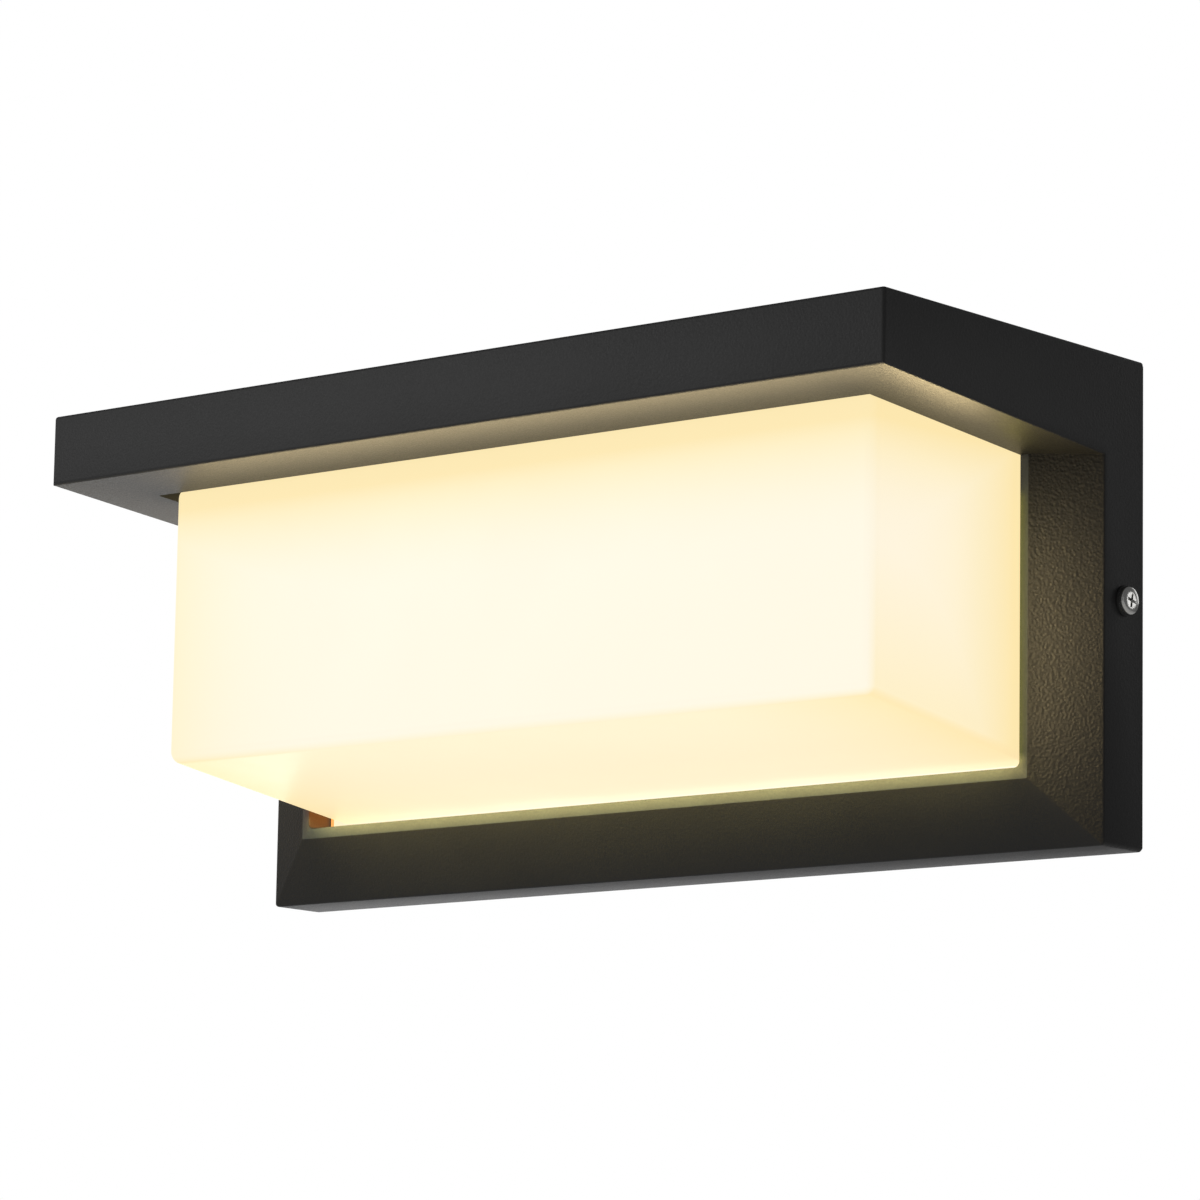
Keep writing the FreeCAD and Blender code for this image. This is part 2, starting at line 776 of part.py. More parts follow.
def driver_case():
    low, high = driver_body_ends()
    z_low = driver_middle - driver_width / 2
    lid_front = driver_rear - driver_lid_thickness
    body = box(low, high, pan_inside, lid_front, z_low, driver_top)
    corners = edges_where(body, lambda b: b.YLength > driver_height / 2)
    body = body.makeFillet(driver_corner_radius, corners)
    feet = box(low - driver_foot, high + driver_foot, pan_inside, pan_inside + driver_foot_thickness,
               driver_middle - driver_foot / 2, driver_middle + driver_foot / 2)
    hollow = box(low + driver_wall, high - driver_wall, pan_inside + driver_wall, lid_front + reach,
                 z_low + driver_wall, driver_top - driver_wall)
    shape = fused([body, feet]).cut(hollow)
    cutters = [rod(small_hole_radius, point(x, pan_inside - reach, z), point(x, lid_front + reach, z))
               for x, z in driver_screw_places()]
    y = driver_lead_depth()
    for z in led_lead_heights():
        cutters.append(rod(lead_radius, point(low - reach, y, z), point(low + 2 * driver_wall, y, z)))
    for z in mains_lead_heights():
        cutters.append(rod(lead_radius, point(high - 2 * driver_wall, y, z), point(high + reach, y, z)))
    return cut_all(shape, cutters)


def driver_lid():
    low, high = driver_body_ends()
    z_low = driver_middle - driver_width / 2
    lid = box(low, high, driver_rear - driver_lid_thickness, driver_rear, z_low, driver_top)
    corners = edges_where(lid, lambda b: near(b.YLength, driver_lid_thickness))
    lid = lid.makeFillet(driver_corner_radius, corners)
    inset = driver_wall + driver_lid_gap
    lip = box(low + inset, high - inset, driver_rear - 2 * driver_lid_thickness,
              driver_rear - driver_lid_thickness, z_low + inset, driver_top - inset)
    inner = box(low + 2 * driver_wall, high - 2 * driver_wall, driver_rear - 3 * driver_lid_thickness,
                driver_rear - driver_lid_thickness, z_low + 2 * driver_wall, driver_top - 2 * driver_wall)
    return fused([lid, lip.cut(inner)])


def driver_lead_depth():
    return pan_inside + driver_height / 2


def mains_lead_heights():
    return [driver_middle - driver_width / 4, driver_middle + driver_width / 4]


def driver_board_front():
    return pan_inside + driver_wall + driver_board_standoff


def driver_board():
    low, high = driver_body_ends()
    front = driver_board_front()
    inset = driver_wall + driver_board_gap
    return box(low + inset, high - inset, front, front + driver_board_thickness,
               driver_middle - driver_width / 2 + inset, driver_top - inset)


def driver_transformer():
    """Bobbin with a core round it, standing on the driver's board."""
    floor = driver_board_front() + driver_board_thickness
    x = driver_offset
    half = transformer_core / 2
    core = box(x - half, x + half, floor, floor + transformer_height,
               driver_middle - half, driver_middle + half)
    windows = []
    for side in (-1, 1):
        low, high = sorted((side * winding_inner, side * winding_outer))
        windows.append(box(x - winding_width / 2, x + winding_width / 2, floor - reach,
                           floor + transformer_height + reach, driver_middle + low, driver_middle + high))
    core = cut_all(core, windows)
    bobbin = box(x - bobbin_length / 2, x + bobbin_length / 2, floor, floor + bobbin_thickness,
                 driver_middle - bobbin_width / 2, driver_middle + bobbin_width / 2)
    return fused([core, bobbin])


def driver_capacitors():
    """Two electrolytic cans and one film capacitor."""
    floor = driver_board_front() + driver_board_thickness
    cans = []
    axis = floor + capacitor_radius
    low = driver_middle - capacitor_shift - capacitor_length / 2
    for x in (driver_offset - output_capacitor_offset, driver_offset + input_capacitor_offset):
        cans.append(rod(capacitor_radius, point(x, axis, low), point(x, axis, low + capacitor_length)))
    x = driver_offset + film_offset
    film = box(x - film_thickness / 2, x + film_thickness / 2, floor, floor + film_height,
               driver_middle - film_length / 2, driver_middle + film_length / 2)
    return Part.makeCompound(cans + [film])


def driver_terminals():
    """Push-in terminals at the two ends of the driver's board, where the leads end."""
    low, high = driver_body_ends()
    floor = driver_board_front() + driver_board_thickness
    inset = 2 * driver_wall
    blocks = []
    for z in led_lead_heights():
        half = led_lead_spacing / 2 - driver_terminal_gap
        blocks.append(box(low + inset, low + inset + output_terminal_length, floor,
                          floor + driver_terminal_height, z - half, z + half))
    half = input_terminal_width / 2
    for z in mains_lead_heights():
        blocks.append(box(high - inset - input_terminal_length, high - inset, floor,
                          floor + driver_terminal_height, z - half, z + half))
    return Part.makeCompound(blocks)


def driver_screws():
    seat = pan_inside + driver_foot_thickness
    length = driver_foot_thickness + sheet
    screws = [small_screw(x, seat, z, length, point(0, 1, 0)) for x, z in driver_screw_places()]
    return Part.makeCompound(screws)


# ---- mains terminals, cable clamp and earth ----------------------------------------------------------

def terminal_wire_depth():
    return pan_inside + terminal_height / 2 - terminal_wire_drop


def terminal_block():
    left = terminal_offset - terminal_length / 2
    shape = box(left, left + terminal_length, pan_inside, pan_inside + terminal_height,
                terminal_bottom, terminal_top)
    edges = edges_where(shape, lambda b: near(b.YMin, pan_inside + terminal_height))
    shape = shape.makeFillet(terminal_edge_radius, edges)
    y = terminal_wire_depth()
    middle = (terminal_bottom + terminal_top) / 2
    cutters = []
    for x in terminal_places():
        cutters.append(rod(sleeve_radius, point(x, y, terminal_bottom - reach),
                           point(x, y, terminal_top + reach)))
        for side in (-1, 1):
            z = middle + side * terminal_width / 4
            cutters.append(rod(small_hole_radius, point(x, y, z), point(x, 0, z)))
    for x in (terminal_places()[0] + terminal_pitch / 2, terminal_places()[1] + terminal_pitch / 2):
        cutters.append(box(x - break_off_width / 2, x + break_off_width / 2,
                           pan_inside + terminal_height - break_off_depth, 0,
                           terminal_bottom - reach, terminal_top + reach))
    x = terminal_offset - terminal_pitch / 2
    cutters.append(rod(tapped_hole_radius, point(x, pan_inside - reach, middle), point(x, 0, middle)))
    return cut_all(shape, cutters)


def terminal_sleeves():
    y = terminal_wire_depth()
    middle = (terminal_bottom + terminal_top) / 2
    inset = lead_entry
    sleeves = []
    for x in terminal_places():
        low = terminal_bottom + inset
        high = terminal_top - inset
        sleeve = rod(sleeve_radius, point(x, y, low), point(x, y, high))
        bore = rod(sleeve_radius - sleeve_wall, point(x, y, low - reach), point(x, y, high + reach))
        sleeve = sleeve.cut(bore)
        for side in (-1, 1):
            z = middle + side * terminal_width / 4
            tapped = rod(grub_radius + thread_clearance, point(x, y, z), point(x, y + 2 * sleeve_radius, z))
            sleeve = sleeve.cut(tapped)
        sleeves.append(sleeve)
    return Part.makeCompound(sleeves)


def terminal_screws():
    """Grub screws that clamp the wires in the sleeves, two to each pole."""
    y = terminal_wire_depth()
    middle = (terminal_bottom + terminal_top) / 2
    half_slot = grub_slot_width / 2
    screws = []
    for x in terminal_places():
        for side in (-1, 1):
            z = middle + side * terminal_width / 4
            tail = y + sleeve_radius - sleeve_wall
            head = pan_inside + terminal_height - grub_sink
            grub = rod(grub_radius, point(x, tail, z), point(x, head, z))
            slot = box(x - grub_radius - reach, x + grub_radius + reach, head - grub_slot_depth, head + reach,
                       z - half_slot, z + half_slot)
            screws.append(grub.cut(slot))
    return Part.makeCompound(screws)


def terminal_fixing_screw():
    x = terminal_offset - terminal_pitch / 2
    middle = (terminal_bottom + terminal_top) / 2
    seat = pan_inside + terminal_height
    return small_screw(x, seat, middle, terminal_height + sheet, point(0, 1, 0))


def cable_clamp():
    middle = terminal_bottom + terminal_width / 2
    left = clamp_offset - clamp_length / 2
    height = 2 * cable_bore_radius + clamp_thickness
    shape = box(left, left + clamp_length, pan_inside, pan_inside + height, middle - clamp_width / 2,
                middle + clamp_width / 2)
    half_gap = clamp_length / 2 - 2 * clamp_leg + clamp_gap_margin
    gap = box(clamp_offset - half_gap, clamp_offset + half_gap, pan_inside - reach,
              pan_inside + height - clamp_thickness, middle - clamp_width, middle + clamp_width)
    shape = shape.cut(gap)
    rear_face = pan_inside + height
    edges = edges_where(shape, lambda b: near(b.YMin, rear_face) and near(b.YMax, rear_face))
    shape = shape.makeFillet(clamp_edge_radius, edges)
    cutters = [rod(small_hole_radius, point(x, pan_inside - reach, middle), point(x, 0, middle))
               for x in clamp_screw_places()]
    return cut_all(shape, cutters)


def cable_clamp_screws():
    middle = terminal_bottom + terminal_width / 2
    height = 2 * cable_bore_radius + clamp_thickness
    screws = [screw(clamp_head_radius, small_head_height, small_screw_radius, height + sheet,
                    point(x, pan_inside + height, middle), point(0, 1, 0)) for x in clamp_screw_places()]
    return Part.makeCompound(screws)


def earth_screw():
    x, z = earth_place()
    seat = pan_inside + 2 * earth_washer_thickness
    return small_screw(x, seat, z, 2 * earth_washer_thickness + sheet, point(0, 1, 0))


def earth_washer():
    x, z = earth_place()
    start = pan_inside
    washer = rod(earth_washer_radius, point(x, start, z), point(x, start + earth_washer_thickness, z))
    return washer.cut(rod(small_hole_radius, point(x, start - reach, z), point(x, 0, z)))


def earth_lug():
    """Crimped ring at the end of the earth lead, under the earth screw's head."""
    x, z = earth_place()
    start = pan_inside + earth_washer_thickness
    ring = rod(lug_ring_radius, point(x, start, z), point(x, start + earth_washer_thickness, z))
    end = z - earth_lug_reach()
    y = earth_lug_depth()
    half = lug_tail_width / 2
    tail = box(x - half, x + half, start, start + earth_washer_thickness, end, z)
    barrel = rod(lead_radius + lug_barrel_wall, point(x, y, end), point(x, y, end + lug_barrel_length))
    hole = rod(lead_radius, point(x, y, end - reach), point(x, y, end + lead_entry))
    shape = fused([ring, tail, barrel])
    shape = shape.cut(hole)
    return shape.cut(rod(small_hole_radius, point(x, start - reach, z), point(x, 0, z)))


def earth_lug_reach():
    return earth_washer_radius + lug_tail_length


def earth_lug_depth():
    return pan_inside + earth_washer_thickness + earth_washer_thickness / 2


# ---- leads -------------------------------------------------------------------------------------------

def mains_lead(pole, height):
    """From the top of one terminal up and across into the driver's right-hand end."""
    x = terminal_places()[pole]
    y = terminal_wire_depth()
    end_x = driver_body_ends()[1] - 2 * driver_wall
    end_y = driver_lead_depth()
    return lead([
        point(x, y, terminal_top - lead_entry),
        point(x, y, height - live_lead_rise * lead_bend),
        point(x - live_lead_shift * lead_bend, end_y, height),
        point(end_x, end_y, height),
    ])


def live_lead():
    return mains_lead(1, mains_lead_heights()[1])


def neutral_lead():
    return mains_lead(0, mains_lead_heights()[0])


def earth_lead():
    x = terminal_places()[2]
    y = terminal_wire_depth()
    lug_x, lug_z = earth_place()
    end = lug_z - earth_lug_reach() + lead_entry
    middle = (terminal_top + end) / 2
    return lead([
        point(x, y, terminal_top - lead_entry),
        point(x, y, middle - earth_lead_slant / 2),
        point(lug_x, earth_lug_depth(), middle + earth_lead_slant / 2),
        point(lug_x, earth_lug_depth(), end),
    ])


def led_lead(z):
    """From the driver's left-hand end through the bush and back into the board's connector."""
    x, _ = grommet_place()
    low = driver_body_ends()[0]
    front = board_front - led_lead_loop
    end_x = led_connector_place()
    return lead([
        point(low + 2 * driver_wall, driver_lead_depth(), z),
        point(x, driver_lead_depth(), z),
        point(x, front, z),
        point(end_x, front, z),
        point(end_x, board_front - led_connector_height + lead_entry, z),
    ])


def led_negative_lead():
    return led_lead(led_lead_heights()[0])


def led_positive_lead():
    return led_lead(led_lead_heights()[1])


# ---- rear cover --------------------------------------------------------------------------------------

def cover_outline(y_low, y_high):
    shape = slab(inner_half_width - cover_gap, inner_bottom + cover_gap, inner_top - cover_gap, y_low, y_high,
                 bottom_corner_radius / 2, top_corner_radius / 2)
    edge = ear_pocket_inner - cover_gap
    notch = box(edge, half_width, y_low - reach, y_high + reach, -ear_pocket_half - cover_gap,
                ear_pocket_half + cover_gap)
    shape = cut_all(shape, [notch, mirrored(notch)])
    cutters = [rod(small_hole_radius, point(x, y_low - reach, z), point(x, y_high + reach, z))
               for x, z in cover_screw_places()]
    return cut_all(shape, cutters)


def rear_cover():
    shape = cover_outline(cover_front, cover_rear)
    hole = rod(grommet_neck_radius, point(0, cover_front - reach, 0), point(0, cover_rear + reach, 0))
    return shape.cut(hole)


def rear_cover_gasket():
    shape = cover_outline(-cover_ledge_depth, cover_front)
    window = slab(cavity_half_width, cavity_bottom, cavity_top,
                  -cover_ledge_depth - reach, cover_front + reach)
    block = box(ear_block_inner, half_width, -seat_depth, 0, -ear_block_half, ear_block_half)
    window = cut_all(window, [block, mirrored(block)])
    pads = [rod(boss_radius, point(x, -seat_depth, z), point(x, 0, z)) for x, z in cover_screw_places()]
    return shape.cut(cut_all(window, pads))


def rear_cover_screws():
    length = cover_thickness + gasket_thickness + cover_screw_bite
    screws = [small_screw(x, cover_rear, z, length, point(0, 1, 0)) for x, z in cover_screw_places()]
    return Part.makeCompound(screws)


def cable_grommet():
    lip = grommet_neck_radius + grommet_lip
    shape = fused([
        rod(grommet_neck_radius, point(0, cover_front, 0), point(0, cover_rear, 0)),
        rod(lip, point(0, cover_front - grommet_lip_thickness, 0), point(0, cover_front, 0)),
        rod(lip, point(0, cover_rear, 0), point(0, cover_rear + grommet_lip_thickness, 0)),
    ])
    end = grommet_lip_thickness + reach
    bore = rod(cable_bore_radius, point(0, cover_front - end, 0), point(0, cover_rear + end, 0))
    return shape.cut(bore)


# ---- wall bracket and side fixing --------------------------------------------------------------------

def bracket_slot(x):
    half = (bracket_slot_length - bracket_slot_width) / 2
    radius = bracket_slot_width / 2
    start = -bracket_thickness - reach
    return fused([
        box(x - half, x + half, start, reach, -radius, radius),
        rod(radius, point(x - half, start, 0), point(x - half, reach, 0)),
        rod(radius, point(x + half, start, 0), point(x + half, reach, 0)),
    ])


def ear():
    """Right-hand ear: stands forward from the plate's end, with a slot open at its tip."""
    shape = box(ear_inner, ear_outer, -ear_length, 0, -ear_width / 2, ear_width / 2)
    tips = edges_where(shape, lambda b: near(b.YMax, -ear_length) and b.XLength > bracket_thickness / 2)
    shape = shape.makeFillet(ear_tip_radius, tips)
    radius = ear_slot_width / 2
    start = ear_inner - reach
    end = ear_outer + reach
    slot = box(start, end, -ear_length - reach, -side_screw_depth, -radius, radius)
    seat = rod(radius, point(start, -side_screw_depth, 0), point(end, -side_screw_depth, 0))
    return cut_all(shape, [slot, seat])


def wall_bracket():
    half = bracket_height / 2
    plate = box(-ear_outer, ear_outer, -bracket_thickness, 0, -half, half)
    lip_end = ear_outer - bracket_end_step
    corner = box(lip_end, half_width, -bracket_thickness - reach, reach, ear_width / 2, half + reach)
    lower = corner.mirror(point(0, 0, 0), point(0, 0, 1))
    plate = cut_all(plate, [corner, lower, mirrored(corner), mirrored(lower)])
    lips = []
    for z_low, z_high in ((half - bracket_thickness, half), (-half, -half + bracket_thickness)):
        lips.append(box(-lip_end, lip_end, -bracket_lip, 0, z_low, z_high))
    shape = fused([plate, ear(), mirrored(ear())] + lips)
    bends = edges_where(shape, lambda b: near(b.YMin, 0) and near(b.YMax, 0)
                        and near(abs(b.XMin), ear_outer) and near(abs(b.XMax), ear_outer))
    shape = shape.makeFillet(bracket_edge_radius, bends)
    cutters = [bracket_slot(-bracket_slot_spacing / 2), bracket_slot(bracket_slot_spacing / 2)]
    start = point(0, -bracket_thickness - reach, 0)
    cutters.append(rod(bracket_cable_hole_radius, start, point(0, reach, 0)))
    window_x = (bracket_cable_hole_radius + bracket_slot_spacing / 2 - bracket_slot_length / 2) / 2
    for side in (-1, 1):
        low = side * window_x - bracket_window_length / 2
        window = box(low, low + bracket_window_length, -bracket_thickness - reach, reach,
                     -bracket_window_height / 2, bracket_window_height / 2)
        corners = edges_where(window, lambda b: b.YLength > bracket_thickness)
        cutters.append(window.makeFillet(bracket_window_radius, corners))
    return cut_all(shape, cutters)


def side_screw():
    seat = point(half_width + side_washer_thickness, -side_screw_depth, 0)
    length = side_screw_length + side_washer_thickness
    return screw(side_head_radius, side_head_height, side_screw_radius, length, seat, point(1, 0, 0))


def side_washer():
    start = point(half_width, -side_screw_depth, 0)
    end = point(half_width + side_washer_thickness, -side_screw_depth, 0)
    washer = rod(side_washer_radius, start, end)
    hole = rod(side_screw_radius + side_hole_clearance, start - point(reach, 0, 0), end + point(reach, 0, 0))
    return washer.cut(hole)


def side_nuts():
    half = nut_size / 2
    nut = box(nut_outer - nut_thickness, nut_outer, -side_screw_depth - half, -side_screw_depth + half,
              -half, half)
    corners = edges_where(nut, lambda b: b.XLength > nut_thickness / 2)
    nut = nut.makeChamfer(nut_chamfer, corners)
    bore = rod(side_screw_radius + thread_clearance, point(0, -side_screw_depth, 0),
               point(half_width, -side_screw_depth, 0))
    nut = nut.cut(bore)
    return Part.makeCompound([nut, mirrored(nut)])


# ---- output ------------------------------------------------------------------------------------------

pieces = {
    "wall_bracket": wall_bracket,
    "housing": housing,
    "wall_seal": wall_seal,
    "diffuser": diffuser,
    "diffuser_gasket": diffuser_gasket,
    "led_tray": led_tray,
    "tray_screws": tray_screws,
    "led_board": led_board,
    "led_packages": led_packages,
    "led_board_screws": led_board_screws,
    "led_connector": led_connector,
    "tray_bush": tray_bush,
    "driver_case": driver_case,
    "driver_lid": driver_lid,
    "driver_board": driver_board,
    "driver_transformer": driver_transformer,
    "driver_capacitors": driver_capacitors,
    "driver_terminals": driver_terminals,
    "driver_screws": driver_screws,
    "terminal_block": terminal_block,
    "terminal_sleeves": terminal_sleeves,
    "terminal_screws": terminal_screws,
    "terminal_fixing_screw": terminal_fixing_screw,
    "cable_clamp": cable_clamp,
    "cable_clamp_screws": cable_clamp_screws,
    "earth_screw": earth_screw,
    "earth_washer": earth_washer,
    "earth_lug": earth_lug,
    "live_lead": live_lead,
    "neutral_lead": neutral_lead,
    "earth_lead": earth_lead,
    "led_positive_lead": led_positive_lead,
    "led_negative_lead": led_negative_lead,
    "rear_cover": rear_cover,
    "rear_cover_gasket": rear_cover_gasket,
    "rear_cover_screws": rear_cover_screws,
    "cable_grommet": cable_grommet,
    "side_screw_right": side_screw,
    "side_screw_left": lambda: mirrored(side_screw()),
    "side_washer_right": side_washer,
    "side_washer_left": lambda: mirrored(side_washer()),
    "side_nuts": side_nuts,
}

os.makedirs("parts", exist_ok=True)
for name, make in pieces.items():
    shape = make()
    solids = len(shape.Solids)
    print(name, "solids", solids, "valid", shape.isValid(), "volume", round(shape.Volume / 1000, 2), "cm3")
    shape.exportStep("parts/" + name + ".step")
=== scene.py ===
import bpy
import math
from mathutils import Matrix, Vector


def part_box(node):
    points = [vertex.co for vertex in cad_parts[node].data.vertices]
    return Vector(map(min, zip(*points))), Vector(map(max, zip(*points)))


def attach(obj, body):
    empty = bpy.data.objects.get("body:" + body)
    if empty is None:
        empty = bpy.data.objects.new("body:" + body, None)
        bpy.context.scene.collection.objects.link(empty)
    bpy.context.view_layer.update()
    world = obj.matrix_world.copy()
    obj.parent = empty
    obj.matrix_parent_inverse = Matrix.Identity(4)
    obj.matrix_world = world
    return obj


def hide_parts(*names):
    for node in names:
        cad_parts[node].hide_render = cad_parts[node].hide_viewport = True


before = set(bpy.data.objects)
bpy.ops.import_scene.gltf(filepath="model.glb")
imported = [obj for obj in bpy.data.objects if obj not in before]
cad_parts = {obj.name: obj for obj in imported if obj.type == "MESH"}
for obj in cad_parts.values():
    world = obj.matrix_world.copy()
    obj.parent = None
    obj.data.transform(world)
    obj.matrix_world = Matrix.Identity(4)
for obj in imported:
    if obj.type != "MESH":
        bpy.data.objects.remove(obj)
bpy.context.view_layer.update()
print("frame loaded:", len(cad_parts), "nodes")


def mm(value):
    return value / 1000


def selectOnly(piece):
    bpy.ops.object.select_all(action="DESELECT")
    piece.select_set(True)
    bpy.context.view_layer.objects.active = piece


def applyPlace(piece):
    selectOnly(piece)
    bpy.ops.object.transform_apply(location=True, rotation=True, scale=True)


def addBlock(name, low, high):
    bpy.ops.object.select_all(action="DESELECT")
    centre = [(a + b) / 2 for a, b in zip(low, high)]
    size = [b - a for a, b in zip(low, high)]
    bpy.ops.mesh.primitive_cube_add(size=1, location=centre, scale=size)
    piece = bpy.context.object
    piece.name = name
    applyPlace(piece)
    return piece


def addRod(name, radius, start, end, sides=32):
    bpy.ops.object.select_all(action="DESELECT")
    start, end = Vector(start), Vector(end)
    along = end - start
    turn = along.to_track_quat("Z", "Y").to_euler()
    bpy.ops.mesh.primitive_cylinder_add(vertices=sides, radius=radius, depth=along.length,
                                        location=(start + end) / 2, rotation=turn)
    piece = bpy.context.object
    piece.name = name
    applyPlace(piece)
    return piece


def pick(piece, kind, wanted):
    # leaves the piece in edit mode with the wanted verts, edges or faces selected
    selectOnly(piece)
    bpy.ops.object.mode_set(mode="EDIT")
    bpy.ops.mesh.select_mode(type=kind)
    bpy.ops.mesh.select_all(action="DESELECT")
    bpy.ops.object.mode_set(mode="OBJECT")
    mesh = piece.data
    if kind == "VERT":
        for vertex in mesh.vertices:
            vertex.select = wanted(vertex.co)
    if kind == "EDGE":
        for edge in mesh.edges:
            first, second = [mesh.vertices[index].co for index in edge.vertices]
            edge.select = wanted(first, second)
    if kind == "FACE":
        for face in mesh.polygons:
            face.select = wanted(face.center, face.normal)
    bpy.ops.object.mode_set(mode="EDIT")


def leaveEdit():
    bpy.ops.object.mode_set(mode="OBJECT")


def bevelEdges(piece, width, segments, wanted):
    pick(piece, "EDGE", wanted)
    bpy.ops.mesh.bevel(offset=width, segments=segments, affect="EDGES", clamp_overlap=True)
    leaveEdit()


def combine(piece, tool, operation):
    selectOnly(piece)
    modifier = piece.modifiers.new(operation.lower(), "BOOLEAN")
    modifier.operation = operation
    modifier.solver = "EXACT"
    modifier.object = tool
    bpy.ops.object.modifier_apply(modifier=modifier.name)
    bpy.data.objects.remove(tool)


def cleanUp(piece, angle=32):
    pick(piece, "FACE", lambda centre, normal: True)
    bpy.ops.mesh.remove_doubles(threshold=mm(0.002))
    bpy.ops.mesh.dissolve_degenerate(threshold=mm(0.002))
    bpy.ops.mesh.normals_make_consistent(inside=False)
    leaveEdit()
    selectOnly(piece)
    bpy.ops.object.shade_smooth_by_angle(angle=math.radians(angle))


def same(value, target):
    return abs(value - target) < mm(0.05)


def finishPiece(piece, body, nodes, material):
    piece.data.materials.clear()
    piece.data.materials.append(material)
    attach(piece, body)
    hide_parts(*nodes)


cameraSizes = {
    "azimuth": 40.0,        # degrees to the right of straight on
    "elevation": -9.3,      # seen from below
    "roll": 1.02,
    "distance": 1478.4,
    "aimX": -38.4,          # aim point on the wall plane
    "aimZ": 17.8,
    "lens": 162.9,
}


def makeCamera():
    s = cameraSizes
    azimuth, elevation, roll = [math.radians(s[key]) for key in ("azimuth", "elevation", "roll")]
    back = Vector((math.sin(azimuth) * math.cos(elevation), -math.cos(azimuth) * math.cos(elevation),
                   math.sin(elevation)))
    level = Vector((math.cos(azimuth), math.sin(azimuth), 0))
    upright = back.cross(level)
    right = level * math.cos(roll) + upright * math.sin(roll)
    up = upright * math.cos(roll) - level * math.sin(roll)
    data = bpy.data.cameras.new("studioCamera")
    data.lens = s["lens"]
    data.sensor_width = 36
    data.clip_start = 0.05
    data.clip_end = 50
    camera = bpy.data.objects.new("studioCamera", data)
    bpy.context.scene.collection.objects.link(camera)
    camera.matrix_world = Matrix((right, up, back)).transposed().to_4x4()
    camera.location = Vector((mm(s["aimX"]), 0, mm(s["aimZ"]))) + back * mm(s["distance"])
    bpy.context.scene.camera = camera


makeCamera()
print("camera set")


def linear(hexColour):
    channels = []
    for start in (0, 2, 4):
        value = int(hexColour[start:start + 2], 16) / 255
        channels.append(value / 12.92 if value <= 0.04045 else ((value + 0.055) / 1.055) ** 2.4)
    return (*channels, 1.0)


def perMm(size):
    return 1000 / size      # a texture's scale, so that one cell is that many mm


def addNode(tree, kind, settings=None, inputs=None):
    node = tree.nodes.new(kind)
    for name, value in (settings or {}).items():
        setattr(node, name, value)
    for name, value in (inputs or {}).items():
        if isinstance(value, bpy.types.NodeSocket):
            tree.links.new(value, node.inputs[name])
        else:
            node.inputs[name].default_value = value
    return node


def startMaterial(name):
    material = bpy.data.materials.new(name)
    material.use_nodes = True
    tree = material.node_tree
    tree.nodes.clear()
    shader = addNode(tree, "ShaderNodeBsdfPrincipled")
    addNode(tree, "ShaderNodeOutputMaterial", inputs={"Surface": shader.outputs[0]})
    place = addNode(tree, "ShaderNodeTexCoord").outputs["Object"]
    return material, tree, shader, place


def ramp(tree, factor, stops):
    node = addNode(tree, "ShaderNodeValToRGB", inputs={"Fac": factor})
    elements = node.color_ramp.elements
    while len(elements) < len(stops):
        elements.new(0.5)
    for element, (position, colour) in zip(elements, stops):
        element.position = position
        element.color = linear(colour) if isinstance(colour, str) else (colour, colour, colour, 1)
    return node.outputs["Color"]


def grain(tree, place, size, detail=2.0, roughness=0.5):
    return addNode(tree, "ShaderNodeTexNoise", inputs={
        "Vector": place, "Scale": perMm(size), "Detail": detail, "Roughness": roughness}).outputs["Fac"]


def mapped(tree, value, low, high, toLow, toHigh):
    return addNode(tree, "ShaderNodeMapRange", inputs={
        "Value": value, "From Min": low, "From Max": high, "To Min": toLow, "To Max": toHigh}).outputs[0]


def maths(tree, operation, first, second=0.0):
    return addNode(tree, "ShaderNodeMath", {"operation": operation}, {0: first, 1: second}).outputs[0]


def blend(tree, factor, first, second):
    return addNode(tree, "ShaderNodeMix", {"data_type": "RGBA"},
                   {0: factor, 6: first, 7: second}).outputs[2]


def bump(tree, height, depth, strength=1.0, under=None):
    inputs = {"Height": height, "Distance": mm(depth), "Strength": strength}
    if under is not None:
        inputs["Normal"] = under
    return addNode(tree, "ShaderNodeBump", inputs=inputs).outputs[0]


# Die-cast aluminium under a textured polyester powder coat: near-black, and pebbled so that light
# breaks into a fine sparkle along the bevels. Colour and sheen carry painted shade near the wall and painted
# light towards the front.
powderSizes = {
    "pebble": 0.75,
    "fine": 0.35,
    "pebbleDepth": 0.11,
    "fineDepth": 0.025,
    # painted shade: darker tones near the wall; painted light: lighter tones towards the front
    "shadedByWall": [(0.3, "141414"), (0.7, "191919")],
    "litTowardsFront": [(0.3, "1e1e1e"), (0.7, "252525")],
    "paintedLightReach": 110.0,      # from the wall out to where the painted light towards the front is full
}


